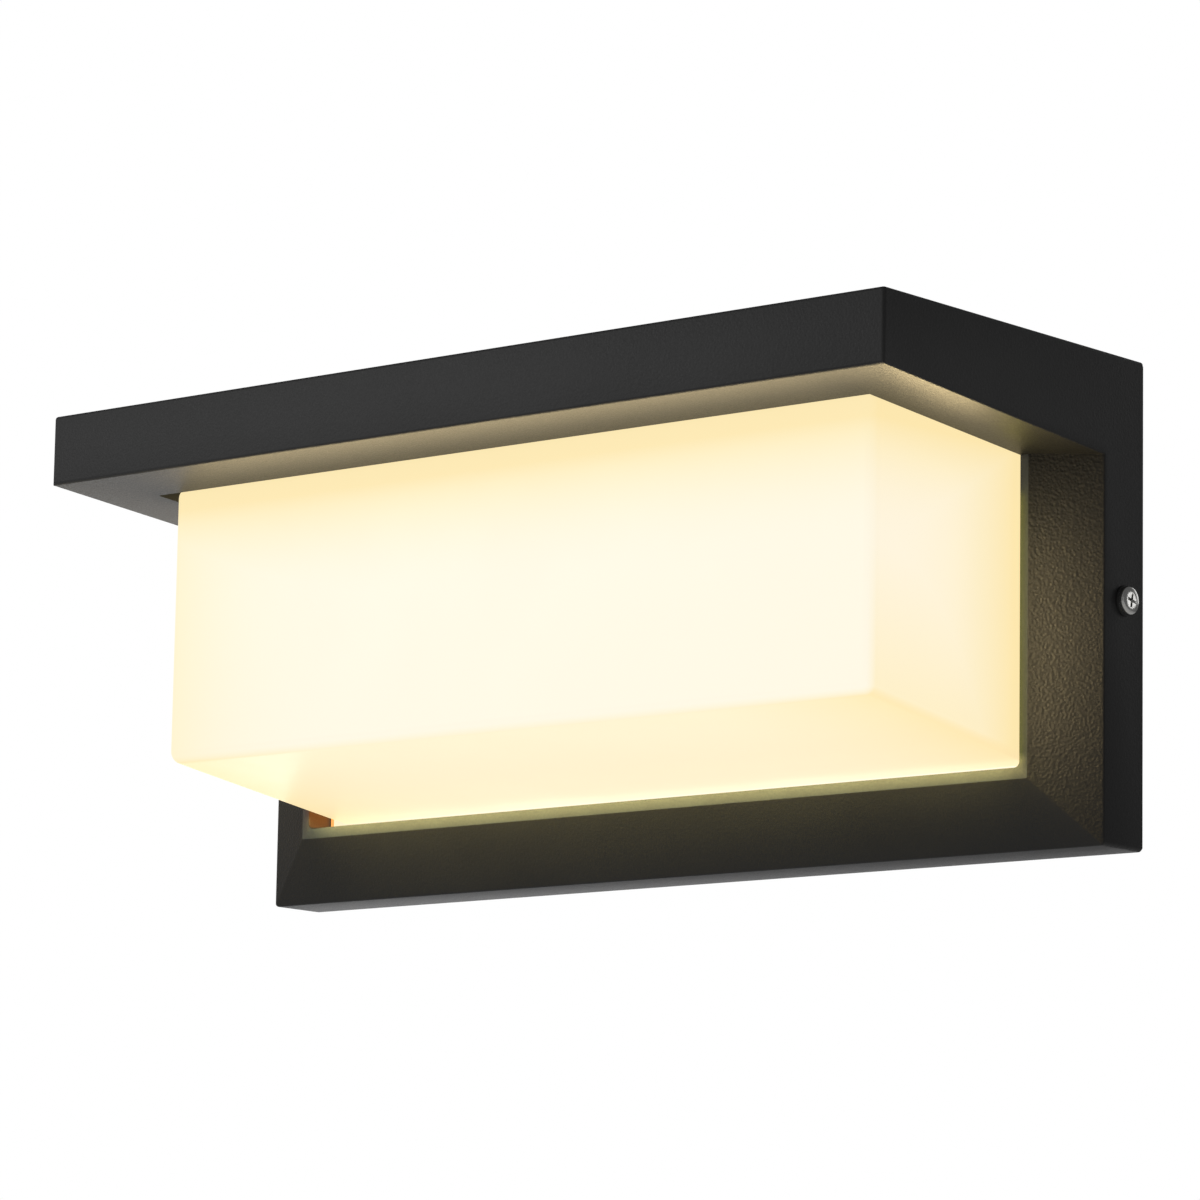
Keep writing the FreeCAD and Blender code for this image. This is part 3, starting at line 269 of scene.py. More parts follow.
def makePowderCoat():
    s = powderSizes
    material, tree, shader, place = startMaterial("texturedPowderCoat")
    pebble = addNode(tree, "ShaderNodeTexVoronoi", {"feature": "SMOOTH_F1"},
                     {"Vector": place, "Scale": perMm(s["pebble"]), "Smoothness": 0.6}).outputs["Distance"]
    fine = grain(tree, place, s["fine"])
    cloud = grain(tree, place, 40)
    split = addNode(tree, "ShaderNodeSeparateXYZ", inputs={"Vector": place})
    # painted light and shade: colour and specular sheen grow from darker at the wall to lighter at the front
    paintedFrontLight = mapped(tree, split.outputs["Y"], 0.0, -mm(s["paintedLightReach"]), 0.0, 1.0)
    tone = blend(tree, paintedFrontLight, ramp(tree, cloud, s["shadedByWall"]), ramp(tree, cloud, s["litTowardsFront"]))
    tree.links.new(tone, shader.inputs["Base Color"])
    tree.links.new(mapped(tree, paintedFrontLight, 0, 1, 0.34, 0.55), shader.inputs["Specular IOR Level"])
    tree.links.new(mapped(tree, fine, 0.3, 0.7, 0.42, 0.56), shader.inputs["Roughness"])
    # the coat lies thicker and coarser on the two side bevels
    facing = addNode(tree, "ShaderNodeSeparateXYZ",
                     inputs={"Vector": addNode(tree, "ShaderNodeTexCoord").outputs["Normal"]})
    sideways = maths(tree, "ABSOLUTE", facing.outputs["X"])
    sloped = mapped(tree, sideways, 0.2, 0.35, 0.0, 1.0)
    notUpright = mapped(tree, sideways, 0.6, 0.8, 1.0, 0.0)
    heavy = maths(tree, "MULTIPLY", sloped, notUpright)
    coarse = bump(tree, pebble, s["pebbleDepth"], mapped(tree, heavy, 0, 1, 0.3, 1.0))
    tree.links.new(bump(tree, fine, s["fineDepth"], 1.0, coarse), shader.inputs["Normal"])
    return material


# Opal polycarbonate, lit from inside: the LED board makes the middle of the front near white, and
# the light turns to cream and yellow towards the edges and the wall
opalSizes = {
    "rimDepth": 26.0,
    "frontDepth": 84.6,
    "halfWidth": 118.35,
    "middleZ": 6.0,
    "halfHeight": 38.0,
    "frontTones": [(0.0, "fff8e5"), (0.35, "fff4d6"), (0.75, "fff0c5"), (1.0, "ffebb6")],
    "sideTones": [(0.0, "fff5de"), (0.5, "fff0c8"), (1.0, "ffe9b0")],
    "underTones": [(0.0, "fff0cd"), (1.0, "ffe7b0")],
}


def makeOpal():
    s = opalSizes
    material, tree, shader, place = startMaterial("opalPolycarbonate")
    split = addNode(tree, "ShaderNodeSeparateXYZ", inputs={"Vector": place})
    facing = addNode(tree, "ShaderNodeTexCoord").outputs["Normal"]
    normal = addNode(tree, "ShaderNodeSeparateXYZ", inputs={"Vector": facing})
    depth = mapped(tree, split.outputs["Y"], -mm(s["rimDepth"]), -mm(s["frontDepth"]), 0, 1)
    across = mapped(tree, split.outputs["X"], -mm(s["halfWidth"]), mm(s["halfWidth"]), -1, 1)
    fromMiddle = maths(tree, "SUBTRACT", split.outputs["Z"], mm(s["middleZ"]))
    upwards = maths(tree, "DIVIDE", fromMiddle, mm(s["halfHeight"]))
    above = maths(tree, "POWER", maths(tree, "MAXIMUM", upwards, 0.0), 2.2)
    above = maths(tree, "MULTIPLY", above, 1.5)
    toLeft = maths(tree, "MAXIMUM", maths(tree, "MULTIPLY", across, -1.0), 0.0)
    outward = maths(tree, "MULTIPLY", maths(tree, "POWER", toLeft, 5.0), 0.55)
    frontGlow = ramp(tree, maths(tree, "MAXIMUM", above, outward), s["frontTones"])
    toWall = maths(tree, "POWER", maths(tree, "SUBTRACT", 1.0, depth), 2.5)
    toEdges = maths(tree, "MAXIMUM", above, maths(tree, "MULTIPLY", upwards, -0.5))
    sideGlow = ramp(tree, maths(tree, "MAXIMUM", toWall, toEdges), s["sideTones"])
    underGlow = ramp(tree, maths(tree, "POWER", maths(tree, "ABSOLUTE", across), 4.0), s["underTones"])
    down = mapped(tree, normal.outputs["Z"], -0.35, -0.9, 0, 1)
    ahead = mapped(tree, normal.outputs["Y"], -0.35, -0.9, 0, 1)
    glow = blend(tree, ahead, blend(tree, down, sideGlow, underGlow), frontGlow)
    cloud = grain(tree, place, 25)
    shader.inputs["Base Color"].default_value = linear("5c584c")
    shader.inputs["IOR"].default_value = 1.58
    shader.inputs["Specular IOR Level"].default_value = 0.25
    tree.links.new(mapped(tree, cloud, 0.3, 0.7, 0.30, 0.40), shader.inputs["Roughness"])
    tree.links.new(glow, shader.inputs["Emission Color"])
    shader.inputs["Emission Strength"].default_value = 0.96
    tree.links.new(bump(tree, grain(tree, place, 0.8), 0.01, 0.5), shader.inputs["Normal"])
    return material


# One recipe for the plain finishes: a colour clouded between two tones, a roughness that wanders, and
# a fine surface grain
def makeFinish(name, dark, light, roughness, metallic=0.0, cloud=12.0, grainSize=0.6, depth=0.01,
               stretch=(1, 1, 1), specular=0.5):
    material, tree, shader, place = startMaterial(name)
    along = addNode(tree, "ShaderNodeMapping", inputs={"Vector": place, "Scale": stretch}).outputs[0]
    tone = ramp(tree, grain(tree, along, cloud, 3.0), [(0.3, dark), (0.7, light)])
    fine = grain(tree, along, grainSize, 3.0)
    low, high = roughness
    shader.inputs["Metallic"].default_value = metallic
    shader.inputs["Specular IOR Level"].default_value = specular
    tree.links.new(tone, shader.inputs["Base Color"])
    tree.links.new(mapped(tree, fine, 0.3, 0.7, low, high), shader.inputs["Roughness"])
    tree.links.new(bump(tree, fine, depth), shader.inputs["Normal"])
    return material, tree, shader, place


def finish(*words, **sizes):
    return makeFinish(*words, **sizes)[0]


# for pieces that the LEDs light up or that shine themselves
def addGlow(made, colour, strength):
    material, tree, shader, place = made
    shader.inputs["Emission Color"].default_value = linear(colour)
    shader.inputs["Emission Strength"].default_value = strength
    return material


powderCoat = makePowderCoat()
opal = makeOpal()
finishes = {
    # primer on the rim's flat: matt, and cool enough that the lamp's warm light turns it olive
    "rimCoat": finish("rimPrimer", "282e38", "2e353e", (0.55, 0.7), 0.0, 8.0, 0.7, 0.02),
    # passivated stainless steel, turned: bright, with fine rings of tool marks
    "stainless": finish("turnedStainless", "b4b4b2", "cfcecb", (0.14, 0.24), 1.0, 5.0, 0.35, 0.006),
    # zinc-plated sheet steel: cool grey with faint spangle and rolling marks along the strip
    "zinc": finish("zincPlatedSteel", "9b9da0", "b5b6b6", (0.32, 0.5), 1.0, 9.0, 0.7, 0.008, (0.25, 1, 1)),
    # moulded EPDM rubber: matt black with a dry bloom
    "rubber": finish("epdmRubber", "161616", "1f1f1e", (0.6, 0.78), 0.0, 10.0, 0.5, 0.02),
    # cellular foam seal: matt, open-pored
    "foam": finish("closedCellFoam", "1b1b1b", "262626", (0.8, 0.9), 0.0, 6.0, 0.9, 0.08),
    # glass-filled ABS moulding: dark grey, spark-eroded texture
    "abs": finish("blackAbs", "2c2d2e", "353637", (0.45, 0.6), 0.0, 20.0, 0.5, 0.02),
    # stove enamel inside the lamp: reflects the LEDs' light
    "enamel": finish("whiteEnamel", "dcdcd6", "ecece8", (0.25, 0.38), 0.0, 18.0, 1.2, 0.006),
    # white solder mask on the LED board
    "maskWhite": finish("whiteSolderMask", "d9dad8", "e9eae8", (0.3, 0.42), 0.0, 9.0, 0.5, 0.004),
    # green solder mask on the driver's board
    "maskGreen": finish("greenSolderMask", "0f4a25", "1c6434", (0.3, 0.42), 0.0, 7.0, 0.5, 0.004),
    # nylon and PBT mouldings
    "plasticWhite": finish("naturalNylon", "d2d0c6", "e2e0d8", (0.4, 0.55), 0.0, 8.0, 0.5, 0.01),
    "plasticDark": finish("blackPbt", "1a1b1c", "262728", (0.4, 0.55), 0.0, 6.0, 0.4, 0.01),
    "plasticGreen": finish("greenNylon", "1f6b3c", "2a7d49", (0.38, 0.5), 0.0, 6.0, 0.4, 0.01),
    "brass": finish("drawnBrass", "b08c45", "c9a55a", (0.25, 0.42), 1.0, 5.0, 0.4, 0.006),
    # PVC lead covers
    "pvcBrown": finish("brownPvc", "4a2a16", "5a351e", (0.35, 0.48), 0.0, 6.0, 0.6, 0.006),
    "pvcBlue": finish("bluePvc", "1b4f9c", "2760b3", (0.35, 0.48), 0.0, 6.0, 0.6, 0.006),
    "pvcRed": finish("redPvc", "a3181a", "b82525", (0.35, 0.48), 0.0, 6.0, 0.6, 0.006),
    "pvcBlack": finish("blackPvc", "161616", "202020", (0.35, 0.48), 0.0, 6.0, 0.6, 0.006),
    # translucent silicone between housing and diffuser, lit orange from behind by the LEDs
    "silicone": addGlow(makeFinish("clearSilicone", "c9a878", "d8bb8e", (0.35, 0.5), 0.0, 10.0, 0.6, 0.006),
                        "ff8a18", 0.30),
    # yellow phosphor over the LED chips
    "phosphor": addGlow(makeFinish("ledPhosphor", "e8b83a", "f2cb58", (0.4, 0.5), 0.0, 2.0, 0.2, 0.004),
                        "ffe0a0", 3.0),
}


# green and yellow striped cover of the earth lead
stripePitch = 2.0         # mm


def makeEarthCover():
    made = makeFinish("stripedPvc", "2f8a3a", "3a9a46", (0.35, 0.48), 0.0, 6.0, 0.6, 0.006)
    material, tree, shader, place = made
    split = addNode(tree, "ShaderNodeSeparateXYZ", inputs={"Vector": place}).outputs["X"]
    wave = maths(tree, "FRACT", maths(tree, "MULTIPLY", split, perMm(stripePitch)))
    stripes = ramp(tree, wave, [(0.48, "2f8a3a"), (0.52, "d6c22e")])
    tree.links.new(stripes, shader.inputs["Base Color"])
    return material


finishes["pvcEarth"] = makeEarthCover()
nodeFinishes = {
    "stainless": ["rear_cover_screws", "tray_screws", "led_board_screws", "side_nuts"],
    "zinc": ["wall_bracket", "earth_washer", "driver_screws", "cable_clamp_screws", "terminal_fixing_screw",
             "terminal_screws"],
    "rubber": ["side_washer_right", "side_washer_left", "cable_grommet", "tray_bush", "rear_cover_gasket"],
    "foam": ["wall_seal"],
    "abs": ["rear_cover"],
    "enamel": ["led_tray"],
    "maskWhite": ["led_board"],
    "maskGreen": ["driver_board"],
    "plasticWhite": ["led_connector", "driver_case", "driver_lid", "cable_clamp", "terminal_block"],
    "plasticDark": ["driver_capacitors", "driver_transformer"],
    "plasticGreen": ["driver_terminals"],
    "brass": ["terminal_sleeves", "earth_lug", "earth_screw"],
    "pvcBrown": ["live_lead"],
    "pvcBlue": ["neutral_lead"],
    "pvcRed": ["led_positive_lead"],
    "pvcBlack": ["led_negative_lead"],
    "pvcEarth": ["earth_lead"],
    "silicone": ["diffuser_gasket"],
    "phosphor": ["led_packages"],
}


def dressNodes():
    for name, nodes in nodeFinishes.items():
        for node in nodes:
            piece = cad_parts[node]
            piece.data.materials.clear()
            piece.data.materials.append(finishes[name])


dressNodes()
print("materials made:", len(bpy.data.materials))


housingSizes = {
    "sideDepth": 17.6,
    "rimDepth": 26.0,
    "bevelInset": 17.4,
    "bevelRise": 17.0,
    "canopyFront": 18.9,
    "canopyRear": 27.7,
    "openingSide": 19.85,     # housing's side to the opening
    "openingFloor": 19.95,
    "openingCeiling": 15.5,
    "recessFront": 88.8,
    "seatDepth": 17.0,
    "ledgeDepth": 9.5,
    "wall": 3.0,
    "topWall": 3.2,
    "ledge": 4.0,
    "topLedge": 3.1,
    "canopySkin": 3.3,
    "openingRadius": 1.5,
    "recessRadius": 2.0,
    "earInner": 125.8,        # blocks round the side screws' ears
    "earDepth": 20.0,
    "earHalf": 16.7,
    "pocketInner": 129.5,     # pockets that the ears and nuts stand in
    "pocketDepth": 14.0,
    "pocketHalf": 13.0,
    "coreMiddle": 55.0,       # cores in the canopy, either side of two ribs
    "coreOuter": 65.0,
    "coreFloor": 5.1,
    "endInner": 125.25,       # cores in the canopy's ends
    "endLow": 0.6,
    "endHigh": 7.4,
    "endRise": 4.0,
    "screwHole": 2.3,
    "screwDepth": 8.8,
    "cornerRadius": 1.1,
    "mitreRadius": 0.35,
    "canopyRadius": 0.9,
    "edgeRadius": 0.45,
    "rimRadius": 0.2,
}


def makeHousing():
    s = housingSizes
    low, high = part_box("housing")
    half, rear, front, top, bottom = high.x, high.y, low.y, high.z, low.z
    side, rim = -mm(s["sideDepth"]), -mm(s["rimDepth"])
    underRear, underFront = top - mm(s["canopyRear"]), top - mm(s["canopyFront"])
    opening = half - mm(s["openingSide"])
    floor, ceiling = bottom + mm(s["openingFloor"]), top - mm(s["openingCeiling"])
    boxTop = underRear + mm(8)

    # rear box, with its front face drawn forwards and inwards into the bevels
    piece = addBlock("housingCasting", (-half, side, bottom), (half, rear, boxTop))
    pick(piece, "FACE", lambda centre, normal: normal.y < -0.9)
    bpy.ops.mesh.extrude_region_move(TRANSFORM_OT_translate={"value": (0, rim - side, 0)})
    inset = (half - mm(s["bevelInset"])) / half
    rise = (boxTop - bottom - mm(s["bevelRise"])) / (boxTop - bottom)
    bpy.ops.transform.resize(value=(inset, 1, rise), center_override=(0, rim, boxTop))
    leaveEdit()
    bevelEdges(piece, mm(s["cornerRadius"]), 4,
               lambda a, b: abs(a.y - b.y) > mm(10) and max(a.z, b.z) < 0)
    bevelEdges(piece, mm(s["mitreRadius"]), 2,
               lambda a, b: mm(5) < abs(a.y - b.y) < mm(10) and max(a.z, b.z) < 0)
    bevelEdges(piece, mm(s["edgeRadius"]), 2,
               lambda a, b: same(a.y, side) and same(b.y, side) and min(a.z, b.z) < boxTop - mm(1))

    # canopy, thinner at its front
    canopy = addBlock("canopy", (-half, front, underRear), (half, rear, top))
    pick(canopy, "VERT", lambda p: p.y < front + mm(1) and p.z < underRear + mm(1))
    bpy.ops.transform.translate(value=(0, 0, underFront - underRear))
    leaveEdit()
    bevelEdges(canopy, mm(s["canopyRadius"]), 4,
               lambda a, b: same(a.y, b.y) and same(a.y, front) or same(a.z, top) and same(b.z, top)
               and not same(a.y, b.y))
    bevelEdges(canopy, mm(s["edgeRadius"]), 3,
               lambda a, b: abs(a.y - b.y) > mm(50) and max(a.z, b.z) < top - mm(10))
    combine(piece, canopy, "UNION")

    # opening, and the recess in the canopy's underside that the diffuser's top stands in
    mouth = -mm(s["seatDepth"] - 0.5)
    hole = addBlock("hole", (-opening, -mm(s["recessFront"]), floor), (opening, mouth, ceiling))
    bevelEdges(hole, mm(s["openingRadius"]), 4, lambda a, b: abs(a.y - b.y) > mm(1))
    combine(piece, hole, "DIFFERENCE")
    bevelEdges(piece, mm(s["rimRadius"]), 2,
               lambda a, b: same(a.y, rim) and same(b.y, rim) and min(a.z, b.z) < underRear - mm(6))

    # hollows behind: the gasket's face, the ledge for the rear cover and the cores inside the canopy
    ledgeSide, ledgeFloor = half - mm(s["wall"] + s["ledge"]), bottom + mm(s["wall"] + s["ledge"])
    ledgeTop = top - mm(s["topWall"] + s["topLedge"])
    cavity = addBlock("cavity", (-ledgeSide, -mm(s["seatDepth"]), ledgeFloor),
                      (ledgeSide, -mm(s["ledgeDepth"] - 0.5), ledgeTop))
    for across in (-1, 1):
        ends = sorted((across * mm(s["earInner"]), across * half))
        ear = addBlock("earBlock", (ends[0], -mm(s["earDepth"]), -mm(s["earHalf"])),
                       (ends[1], 0, mm(s["earHalf"])))
        combine(cavity, ear, "DIFFERENCE")
    combine(piece, cavity, "DIFFERENCE")
    wall = mm(s["wall"])
    recess = addBlock("recess", (-half + wall, -mm(s["ledgeDepth"]), bottom + wall),
                      (half - wall, mm(1), top - mm(s["topWall"])))
    bevelEdges(recess, mm(s["recessRadius"]), 3, lambda a, b: abs(a.y - b.y) > mm(1))
    combine(piece, recess, "DIFFERENCE")
    skin = front + mm(s["canopySkin"])
    middle, outer = mm(s["coreMiddle"]), mm(s["coreOuter"])
    for start, end in [(-opening, -outer), (-middle, middle), (outer, opening)]:
        core = addBlock("core", (start, skin, ceiling + mm(s["coreFloor"])), (end, mouth, ledgeTop))
        combine(piece, core, "DIFFERENCE")
    for across in (-1, 1):
        ends = sorted((across * mm(s["endInner"]), across * ledgeSide))
        core = addBlock("core", (ends[0], skin, underFront - mm(s["endLow"])),
                        (ends[1], mouth, underFront + mm(s["endHigh"])))
        pick(core, "VERT", lambda p: p.y < skin + mm(1) and p.z < underFront + mm(1))
        bpy.ops.transform.translate(value=(0, 0, mm(s["endRise"])))
        leaveEdit()
        combine(piece, core, "DIFFERENCE")
        ends = sorted((across * mm(s["pocketInner"]), across * (half - wall)))
        pocket = addBlock("pocket", (ends[0], -mm(s["pocketDepth"]), -mm(s["pocketHalf"])),
                          (ends[1], mm(1), mm(s["pocketHalf"])))
        combine(piece, pocket, "DIFFERENCE")
        depth = -mm(s["screwDepth"])
        hole = addRod("hole", mm(s["screwHole"]), (across * (half - mm(5)), depth, 0),
                      (across * (half + mm(2)), depth, 0))
        combine(piece, hole, "DIFFERENCE")
    cleanUp(piece)
    finishPiece(piece, "lamp", ["housing"], powderCoat)
    piece.data.materials.append(finishes["rimCoat"])
    for face in piece.data.polygons:
        onRim = same(face.center.y, rim) and face.normal.y < -0.99
        face.material_index = 1 if onRim else 0
    print("housing made:", len(piece.data.polygons), "faces")


makeHousing()


diffuserSizes = {
    "seatFront": 15.5,
    "sideGap": 6.3,           # flange's edge to the box's side
    "frontFloor": 31.65,      # heights of the underside above the housing's bottom
    "rimFloor": 23.45,
    "rimDepth": 26.0,
    "topRear": 16.7,          # below the housing's top
    "topFront": 17.9,
    "wall": 2.5,
    "flange": 2.5,
    "edgeRadius": 3.0,
}


def makeDiffuser():
    s = diffuserSizes
    low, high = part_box("diffuser")
    bottom, top = [corner.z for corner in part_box("housing")]
    front, rear = low.y, -mm(s["seatFront"] - s["flange"])
    half = high.x - mm(s["sideGap"])
    slope = mm(s["frontFloor"] - s["rimFloor"]) / (-mm(s["rimDepth"]) - front)
    rearFloor = bottom + mm(s["rimFloor"]) - slope * (rear + mm(s["rimDepth"]))
    rise = bottom + mm(s["frontFloor"]) - rearFloor
    piece = addBlock("opalDiffuser", (-half, front, rearFloor), (half, rear, top - mm(s["topRear"])))
    pick(piece, "VERT", lambda p: p.y < front + mm(1) and p.z < 0)
    bpy.ops.transform.translate(value=(0, 0, rise))
    leaveEdit()
    pick(piece, "VERT", lambda p: p.y < front + mm(1) and p.z > 0)
    bpy.ops.transform.translate(value=(0, 0, -mm(s["topFront"] - s["topRear"])))
    leaveEdit()
    bevelEdges(piece, mm(s["edgeRadius"]), 6, lambda a, b: min(a.y, b.y) < front + mm(1))
    pick(piece, "FACE", lambda centre, normal: normal.y > 0.9)
    bpy.ops.mesh.delete(type="FACE")
    leaveEdit()
    selectOnly(piece)
    wall = piece.modifiers.new("wall", "SOLIDIFY")
    wall.thickness = mm(s["wall"])
    wall.offset = -1
    wall.use_even_offset = True
    bpy.ops.object.modifier_apply(modifier=wall.name)
    flange = addBlock("flange", (low.x, -mm(s["seatFront"]), low.z), (high.x, rear, high.z))
    bevelEdges(flange, mm(1.5), 4, lambda a, b: abs(a.y - b.y) > mm(1))
    inside = mm(s["wall"]) / 2
    gap = addBlock("gap", (-half + inside, -mm(30), rearFloor + inside + mm(1)),
                   (half - inside, mm(1), top - mm(s["topRear"]) - inside))
    combine(flange, gap, "DIFFERENCE")
    combine(piece, flange, "UNION")
    cleanUp(piece)
    finishPiece(piece, "lamp", ["diffuser"], opal)
    print("diffuser made:", len(piece.data.polygons), "faces")


makeDiffuser()


screwSizes = {
    "headRadius": 3.6,
    "headHeight": 1.6,
    "shankRadius": 2.0,
    "length": 9.9,
    "pitch": 0.7,
    "threadDepth": 0.22,
    "crossLength": 2.4,
    "crossWidth": 0.9,
    "crossFloor": 0.6,
    "turn": 12,               # degrees that the cross stands turned by
}


# Pan head screw, modelled upright on the origin and then laid along its hole
def makeScrew(name, node, side):
    s = screwSizes
    low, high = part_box(node)
    radius, height, shank = mm(s["headRadius"]), mm(s["headHeight"]), mm(s["shankRadius"])
    bpy.ops.object.select_all(action="DESELECT")
    bpy.ops.mesh.primitive_cylinder_add(vertices=64, radius=radius, depth=height,
                                        location=(0, 0, height / 2))
    piece = bpy.context.object
    piece.name = name
    applyPlace(piece)
    # domed top: two rings inset and lifted, then the rim rounded
    pick(piece, "FACE", lambda centre, normal: normal.z > 0.9)
    bpy.ops.mesh.inset(thickness=mm(0.5))
    bpy.ops.mesh.inset(thickness=mm(1.2))
    bpy.ops.transform.translate(value=(0, 0, mm(0.06)))
    leaveEdit()
    pick(piece, "VERT", lambda p: same(p.z, height) and p.xy.length > radius - mm(0.1))
    bpy.ops.transform.translate(value=(0, 0, -mm(0.3)))
    leaveEdit()
    bevelEdges(piece, mm(0.4), 4, lambda a, b: same(a.z, height - mm(0.3)) and same(b.z, height - mm(0.3))
               and min(a.xy.length, b.xy.length) > radius - mm(0.1))
    # Phillips recess: two tapered slots that meet over a pointed well
    for turn in (0, 90):
        arm, half, floor = mm(s["crossLength"]), mm(s["crossWidth"] / 2), mm(s["crossFloor"])
        slot = addBlock("slot", (-arm, -half, floor), (arm, half, height + mm(1)))
        pick(slot, "VERT", lambda p: p.z < floor + mm(0.1))
        bpy.ops.transform.resize(value=(0.45, 0.7, 1), center_override=(0, 0, 0))
        leaveEdit()
        selectOnly(slot)
        bpy.ops.transform.rotate(value=math.radians(turn + s["turn"]), orient_axis="Z",
                                 center_override=(0, 0, 0))
        applyPlace(slot)
        combine(piece, slot, "DIFFERENCE")
    # shank, with a rounded thread turned as rings at the thread's pitch
    bpy.ops.object.select_all(action="DESELECT")
    steps = int(s["length"] / s["pitch"])
    start = mm(s["length"] - steps * s["pitch"])
    core = shank - mm(s["threadDepth"])
    bpy.ops.mesh.primitive_cylinder_add(vertices=48, radius=core, depth=start + mm(0.4),
                                        location=(0, 0, -start / 2 + mm(0.2)))
    rod = bpy.context.object
    applyPlace(rod)
    pick(rod, "FACE", lambda centre, normal: normal.z < -0.9)
    crest = shank / core
    for step in range(steps):
        for drop, scale in ((s["pitch"] / 2, crest), (s["pitch"] / 2, 1 / crest)):
            last = step == steps - 1
            scale = 1 if last else scale
            bpy.ops.mesh.extrude_region_move(TRANSFORM_OT_translate={"value": (0, 0, -mm(drop))})
            bpy.ops.transform.resize(value=(scale, scale, 1), center_override=(0, 0, 0))
    leaveEdit()
    combine(piece, rod, "UNION")
    selectOnly(piece)
    bpy.ops.transform.rotate(value=-math.radians(90) * side, orient_axis="Y", center_override=(0, 0, 0))
    seat = high.x - height if side > 0 else low.x + height
    bpy.ops.transform.translate(value=(seat, (low.y + high.y) / 2, 0))
    applyPlace(piece)
    cleanUp(piece, 40)
    body = "screw_right" if side > 0 else "screw_left"
    finishPiece(piece, body, [node], finishes["stainless"])


washerSizes = {"outer": 3.9, "inner": 2.3, "round": 0.12}


def makeWasher(name, node, side):
    s = washerSizes
    low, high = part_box(node)
    middle = (low + high) / 2
    start = (low.x, middle.y, middle.z)
    end = (high.x, middle.y, middle.z)
    piece = addRod(name, mm(s["outer"]), start, end, 64)
    reach = mm(1)
    hole = addRod("hole", mm(s["inner"]), (low.x - reach, middle.y, middle.z),
                  (high.x + reach, middle.y, middle.z), 48)
    combine(piece, hole, "DIFFERENCE")
    outerFace = high.x if side > 0 else low.x
    bevelEdges(piece, mm(s["round"]), 3, lambda a, b: same(a.x, outerFace) and same(b.x, outerFace)
               and math.hypot(a.y - middle.y, a.z - middle.z) > mm(s["outer"] - 0.1)
               and math.hypot(b.y - middle.y, b.z - middle.z) > mm(s["outer"] - 0.1))
    cleanUp(piece, 40)
    body = "washer_right" if side > 0 else "washer_left"
    finishPiece(piece, body, [node], finishes["rubber"])


makeScrew("sideScrewRight", "side_screw_right", 1)
makeScrew("sideScrewLeft", "side_screw_left", -1)
makeWasher("sideWasherRight", "side_washer_right", 1)
makeWasher("sideWasherLeft", "side_washer_left", -1)
print("side screws made")

# Pieces whose packed form is already right: merged, given small worn edges and smoothed.
# name: node, body, slot, finish, edge radius in mm
refinedPieces = {
    "wallBracket": ("wall_bracket", "bracket", "zinc_steel", "zinc", 0.25),
    "rearCover": ("rear_cover", "lamp", "cover_plastic", "abs", 0.3),
    "coverScrews": ("rear_cover_screws", "lamp", "stainless", "stainless", 0.12),
    "cableGrommet": ("cable_grommet", "lamp", "black_rubber", "rubber", 0.4),
    "wallSeal": ("wall_seal", "lamp", "black_rubber", "foam", 0.2),
    "sideNuts": ("side_nuts", "lamp", "stainless", "stainless", 0.15),
    "ledTray": ("led_tray", "lamp", "white_tray", "enamel", 0.2),
    "ledBoard": ("led_board", "lamp", "board_white", "maskWhite", 0.1),
    "driverCase": ("driver_case", "lamp", "white_plastic", "plasticWhite", 0.2),
    "driverLid": ("driver_lid", "lamp", "white_plastic", "plasticWhite", 0.25),
    "terminalBlock": ("terminal_block", "lamp", "white_plastic", "plasticWhite", 0.15),
    "cableClamp": ("cable_clamp", "lamp", "white_plastic", "plasticWhite", 0.2),
    "liveLead": ("live_lead", "lamp", "lead_brown", "pvcBrown", 0),
    "neutralLead": ("neutral_lead", "lamp", "lead_blue", "pvcBlue", 0),
    "earthLead": ("earth_lead", "lamp", "lead_earth", "pvcEarth", 0),
    "ledPositiveLead": ("led_positive_lead", "lamp", "lead_red", "pvcRed", 0),
    "ledNegativeLead": ("led_negative_lead", "lamp", "lead_black", "pvcBlack", 0),
}


def makeRefined():
    for name, (node, body, slot, material, edge) in refinedPieces.items():
        piece = bpy.data.objects.new(name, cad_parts[node].data.copy())
        bpy.context.scene.collection.objects.link(piece)
        pick(piece, "FACE", lambda centre, normal: True)
        bpy.ops.mesh.remove_doubles(threshold=mm(0.003))
        bpy.ops.mesh.dissolve_limited(angle_limit=math.radians(0.5))
        bpy.ops.mesh.normals_make_consistent(inside=False)
        leaveEdit()
        if edge:
            selectOnly(piece)
            worn = piece.modifiers.new("worn", "BEVEL")
            worn.width = mm(edge)
            worn.segments = 2
            worn.limit_method = "ANGLE"
            worn.angle_limit = math.radians(50)
            bpy.ops.object.modifier_apply(modifier=worn.name)
        selectOnly(piece)
        bpy.ops.object.shade_smooth_by_angle(angle=math.radians(35))
        finishPiece(piece, body, [node], finishes[material])
    print("refined pieces made:", len(refinedPieces))


makeRefined()

lightSizes = {
    "worldLow": 0.14,
    "worldFront": 0.20,
    "frontWay": (-0.66, -0.72, 0.16),
    "floorDepth": 0.70,
    "floorGlow": 0.2,          # keeps the floor pale, since the studio is dim round the lamp
    "keyPower": 4.5,
    "backPower": 3.5,
    "sidePower": 0.5,
    "glintPower": 0.5,
    "lowPower": 4.5,
    "frontGlow": 0.21,
    "lowerGlow": 0.15,
    "sideGlow": 0.13,
    "edgeGlow": 0.012,
}


